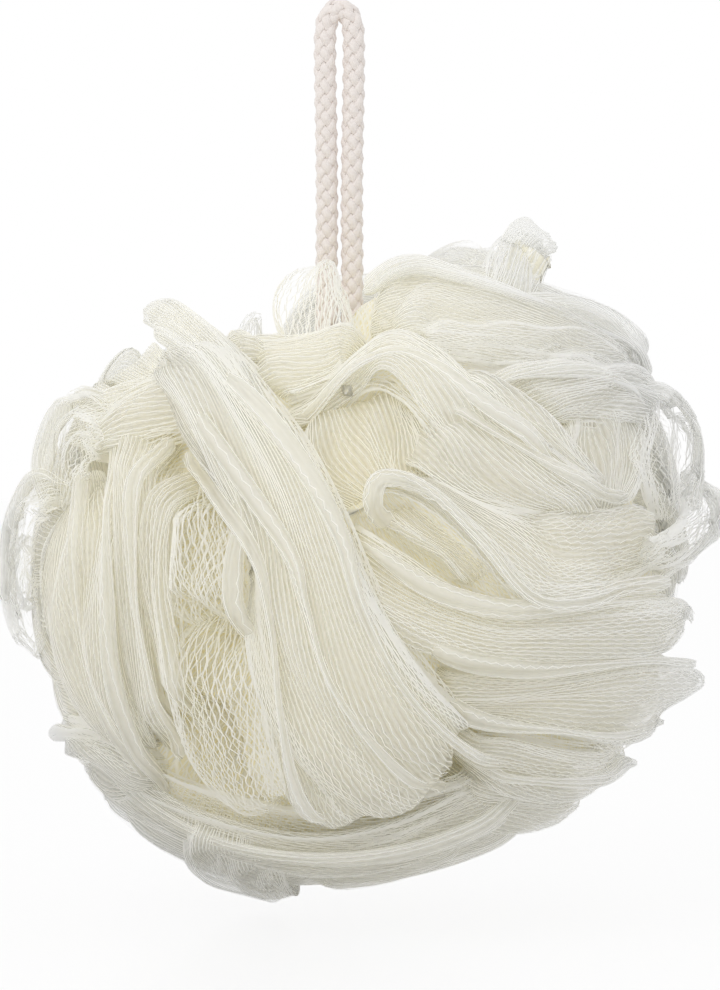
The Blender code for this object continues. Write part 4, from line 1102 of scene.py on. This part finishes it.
def netting_lines(tree, where, cell, wander):
    """1 on the strands of a diamond lattice of the given cell, in centimetres, 0 between.

    wander is how far, in centimetres, noise bends it."""
    noise = add_node(tree, "TexNoise", {"Vector": where, "Scale": 1.1, "Detail": 2.0})
    terms = {0: noise.outputs["Color"], 1: (wander, wander, 0.0), 2: where}
    bent = add_node(tree, "VectorMath", terms, operation="MULTIPLY_ADD").outputs["Vector"]
    place = add_node(tree, "SeparateXYZ", {0: bent}).outputs
    masks = []
    for way in (1.0, -1.0):
        across = calculated(tree, "MULTIPLY", place["X"], 1 / cell[0])
        slant = calculated(tree, "MULTIPLY_ADD", place["Y"], way / cell[1], across)
        edge = {"From Min": 0.20, "From Max": 0.06}
        edge["Value"] = calculated(tree, "PINGPONG", slant, 0.5)
        masks.append(add_node(tree, "MapRange", edge).outputs["Result"])
    return calculated(tree, "MAXIMUM", *masks)


def inner_material():
    """Packed netting under the outer layer: lattices over each other, over a painted shade that is
    yellower with depth.
    """
    material, tree, shader = new_material("netting_inner", 0.6, 0.3)
    where = add_node(tree, "UVMap", uv_map="along").outputs["UV"]
    # Painted shade under the lattices: warmer and yellower deep among the layers.
    colour = two_tones(tree, painted_depth_shade(tree), (0.93, 0.85, 0.55), (0.86, 0.83, 0.70))
    for cell, wander, strength, tone in (
        ((0.15, 0.40), 0.9, 0.60, (0.95, 0.92, 0.78, 1.0)),
        ((0.12, 0.33), 0.5, 0.90, (0.985, 0.975, 0.92, 1.0)),
    ):
        lines = netting_lines(tree, where, cell, wander)
        amount = calculated(tree, "MULTIPLY", lines, strength)
        over = {"Factor": amount, 6: colour, 7: tone}
        colour = add_node(tree, "Mix", over, data_type="RGBA").outputs[2]
    wire(tree, shader, {"Base Color": colour})
    bumped(tree, shader, lines, 0.35, 0.0004)
    return material


def cord_material():
    """Warm off-white braid of spun yarn."""
    material, tree, shader = new_material("cord_yarn", 0.75)
    place = add_node(tree, "TexCoord").outputs["Object"]
    grain = {"Vector": place, "Scale": 2600.0, "Detail": 3.0}
    fibres = add_node(tree, "TexNoise", grain).outputs["Fac"]
    colour = two_tones(tree, fibres, (0.80, 0.73, 0.69), (0.88, 0.83, 0.80), (0.25, 0.75))
    wire(tree, shader, {"Base Color": colour, "Sheen Weight": 0.2})
    bumped(tree, shader, fibres, 0.4, 0.0002)
    return material


# Stage


def place_camera():
    """The photograph's view, level with the ball's middle or a little above."""
    right = (MIDDLE_PIXEL[0] - HOOK_PIXEL[0]) / PIXELS_PER_METRE
    below = (MIDDLE_PIXEL[1] - HOOK_PIXEL[1]) / PIXELS_PER_METRE
    rise = math.radians(CAMERA_ELEVATION)
    back = Vector((0.0, -math.cos(rise), math.sin(rise)))
    data = bpy.data.cameras.new("camera")
    data.sensor_width = SENSOR_WIDTH
    data.lens = PIXELS_PER_METRE * CAMERA_DISTANCE / IMAGE_HEIGHT * SENSOR_WIDTH
    data.clip_start = NEAREST_SEEN
    camera = bpy.data.objects.new("camera", data)
    camera.location = Vector((right, 0.0, -below)) + back * CAMERA_DISTANCE
    camera.rotation_euler = (-back).to_track_quat("-Z", "Y").to_euler()
    bpy.context.scene.collection.objects.link(camera)
    bpy.context.scene.camera = camera


def seen_rays(tree):
    """1 for rays that show the background: the camera's, and those in gloss and glass."""
    rays = add_node(tree, "LightPath")
    total = rays.outputs["Is Camera Ray"]
    for kind in ("Is Glossy Ray", "Is Transmission Ray"):
        total = calculated(tree, "ADD", total, rays.outputs[kind], clamp=True)
    return total


def place_lights():
    data = bpy.data.lights.new("key_light", "AREA")
    data.size = KEY_SIZE
    data.energy = KEY_POWER
    lamp = bpy.data.objects.new("key_light", data)
    lamp.location = KEY_PLACE
    lamp.rotation_euler = (KEY_AIM - lamp.location).to_track_quat("-Z", "Y").to_euler()
    bpy.context.scene.collection.objects.link(lamp)
    world = bpy.data.worlds.new("studio")
    bpy.context.scene.world = world
    world.use_nodes = True
    tree = world.node_tree
    light = tree.nodes["Background"]
    wire(tree, light, {"Color": WHITE, "Strength": WORLD_LIGHT})
    shown = add_node(tree, "Background", {"Color": WHITE, "Strength": 1.0})
    blend = mixed(tree, seen_rays(tree), light.outputs[0], shown.outputs[0])
    wire(tree, tree.nodes["World Output"], {"Surface": blend})


def place_floor(height):
    bpy.ops.mesh.primitive_plane_add(size=FLOOR_SIZE, location=(0.0, 0.0, height))
    floor = bpy.context.active_object
    floor.name = "floor"
    material, tree, shader = new_material("pale_floor", 0.25)
    wire(tree, shader, {"Base Color": FLOOR_COLOUR})
    glow = add_node(tree, "Emission", {"Strength": 1.0}).outputs[0]
    share = calculated(tree, "MULTIPLY", seen_rays(tree), FLOOR_GLOW)
    floor.data.materials.append(finished(material, mixed(tree, share, shader.outputs[0], glow)))


# Scene

bpy.context.scene.view_settings.view_transform = "Standard"
bpy.context.scene.cycles.max_bounces = 32
bpy.context.scene.cycles.diffuse_bounces = 10
bpy.context.scene.cycles.transparent_max_bounces = 40
place_camera()
place_lights()
place_floor(float(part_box("mesh_netting")[0][2]) - FLOOR_DROP)

yarn = cord_material()
knot_top = CENTRE[2] + WAIST_RADIUS + CORD_DIAMETER + CLEARANCE + KNOT_DIAMETER
foot = knot_top + CLEARANCE
leg = (CORD_DIAMETER + LEG_GAP) / 2
cord_path, cord_marks = smooth_route(((-leg, 0, foot), *LOOP_ROUTE, (leg, 0, foot)), BRAID_STEP)
cord = braid("braided_cord", cord_path, cord_marks, yarn)
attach(cord, "root")
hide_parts("hanging_cord")
for node in ("cord_knot", "waist_turn"):
    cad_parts[node].data.materials.clear()
    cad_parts[node].data.materials.append(yarn)

inner = inner_material()
strand = netting_material()
sheets = netting_pieces(strand, film_material())
core = inner_netting(inner)
sheets.append(core_strands(core, strand))
for piece in (*sheets, core):
    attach(piece, "root")
    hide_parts("mesh_netting")
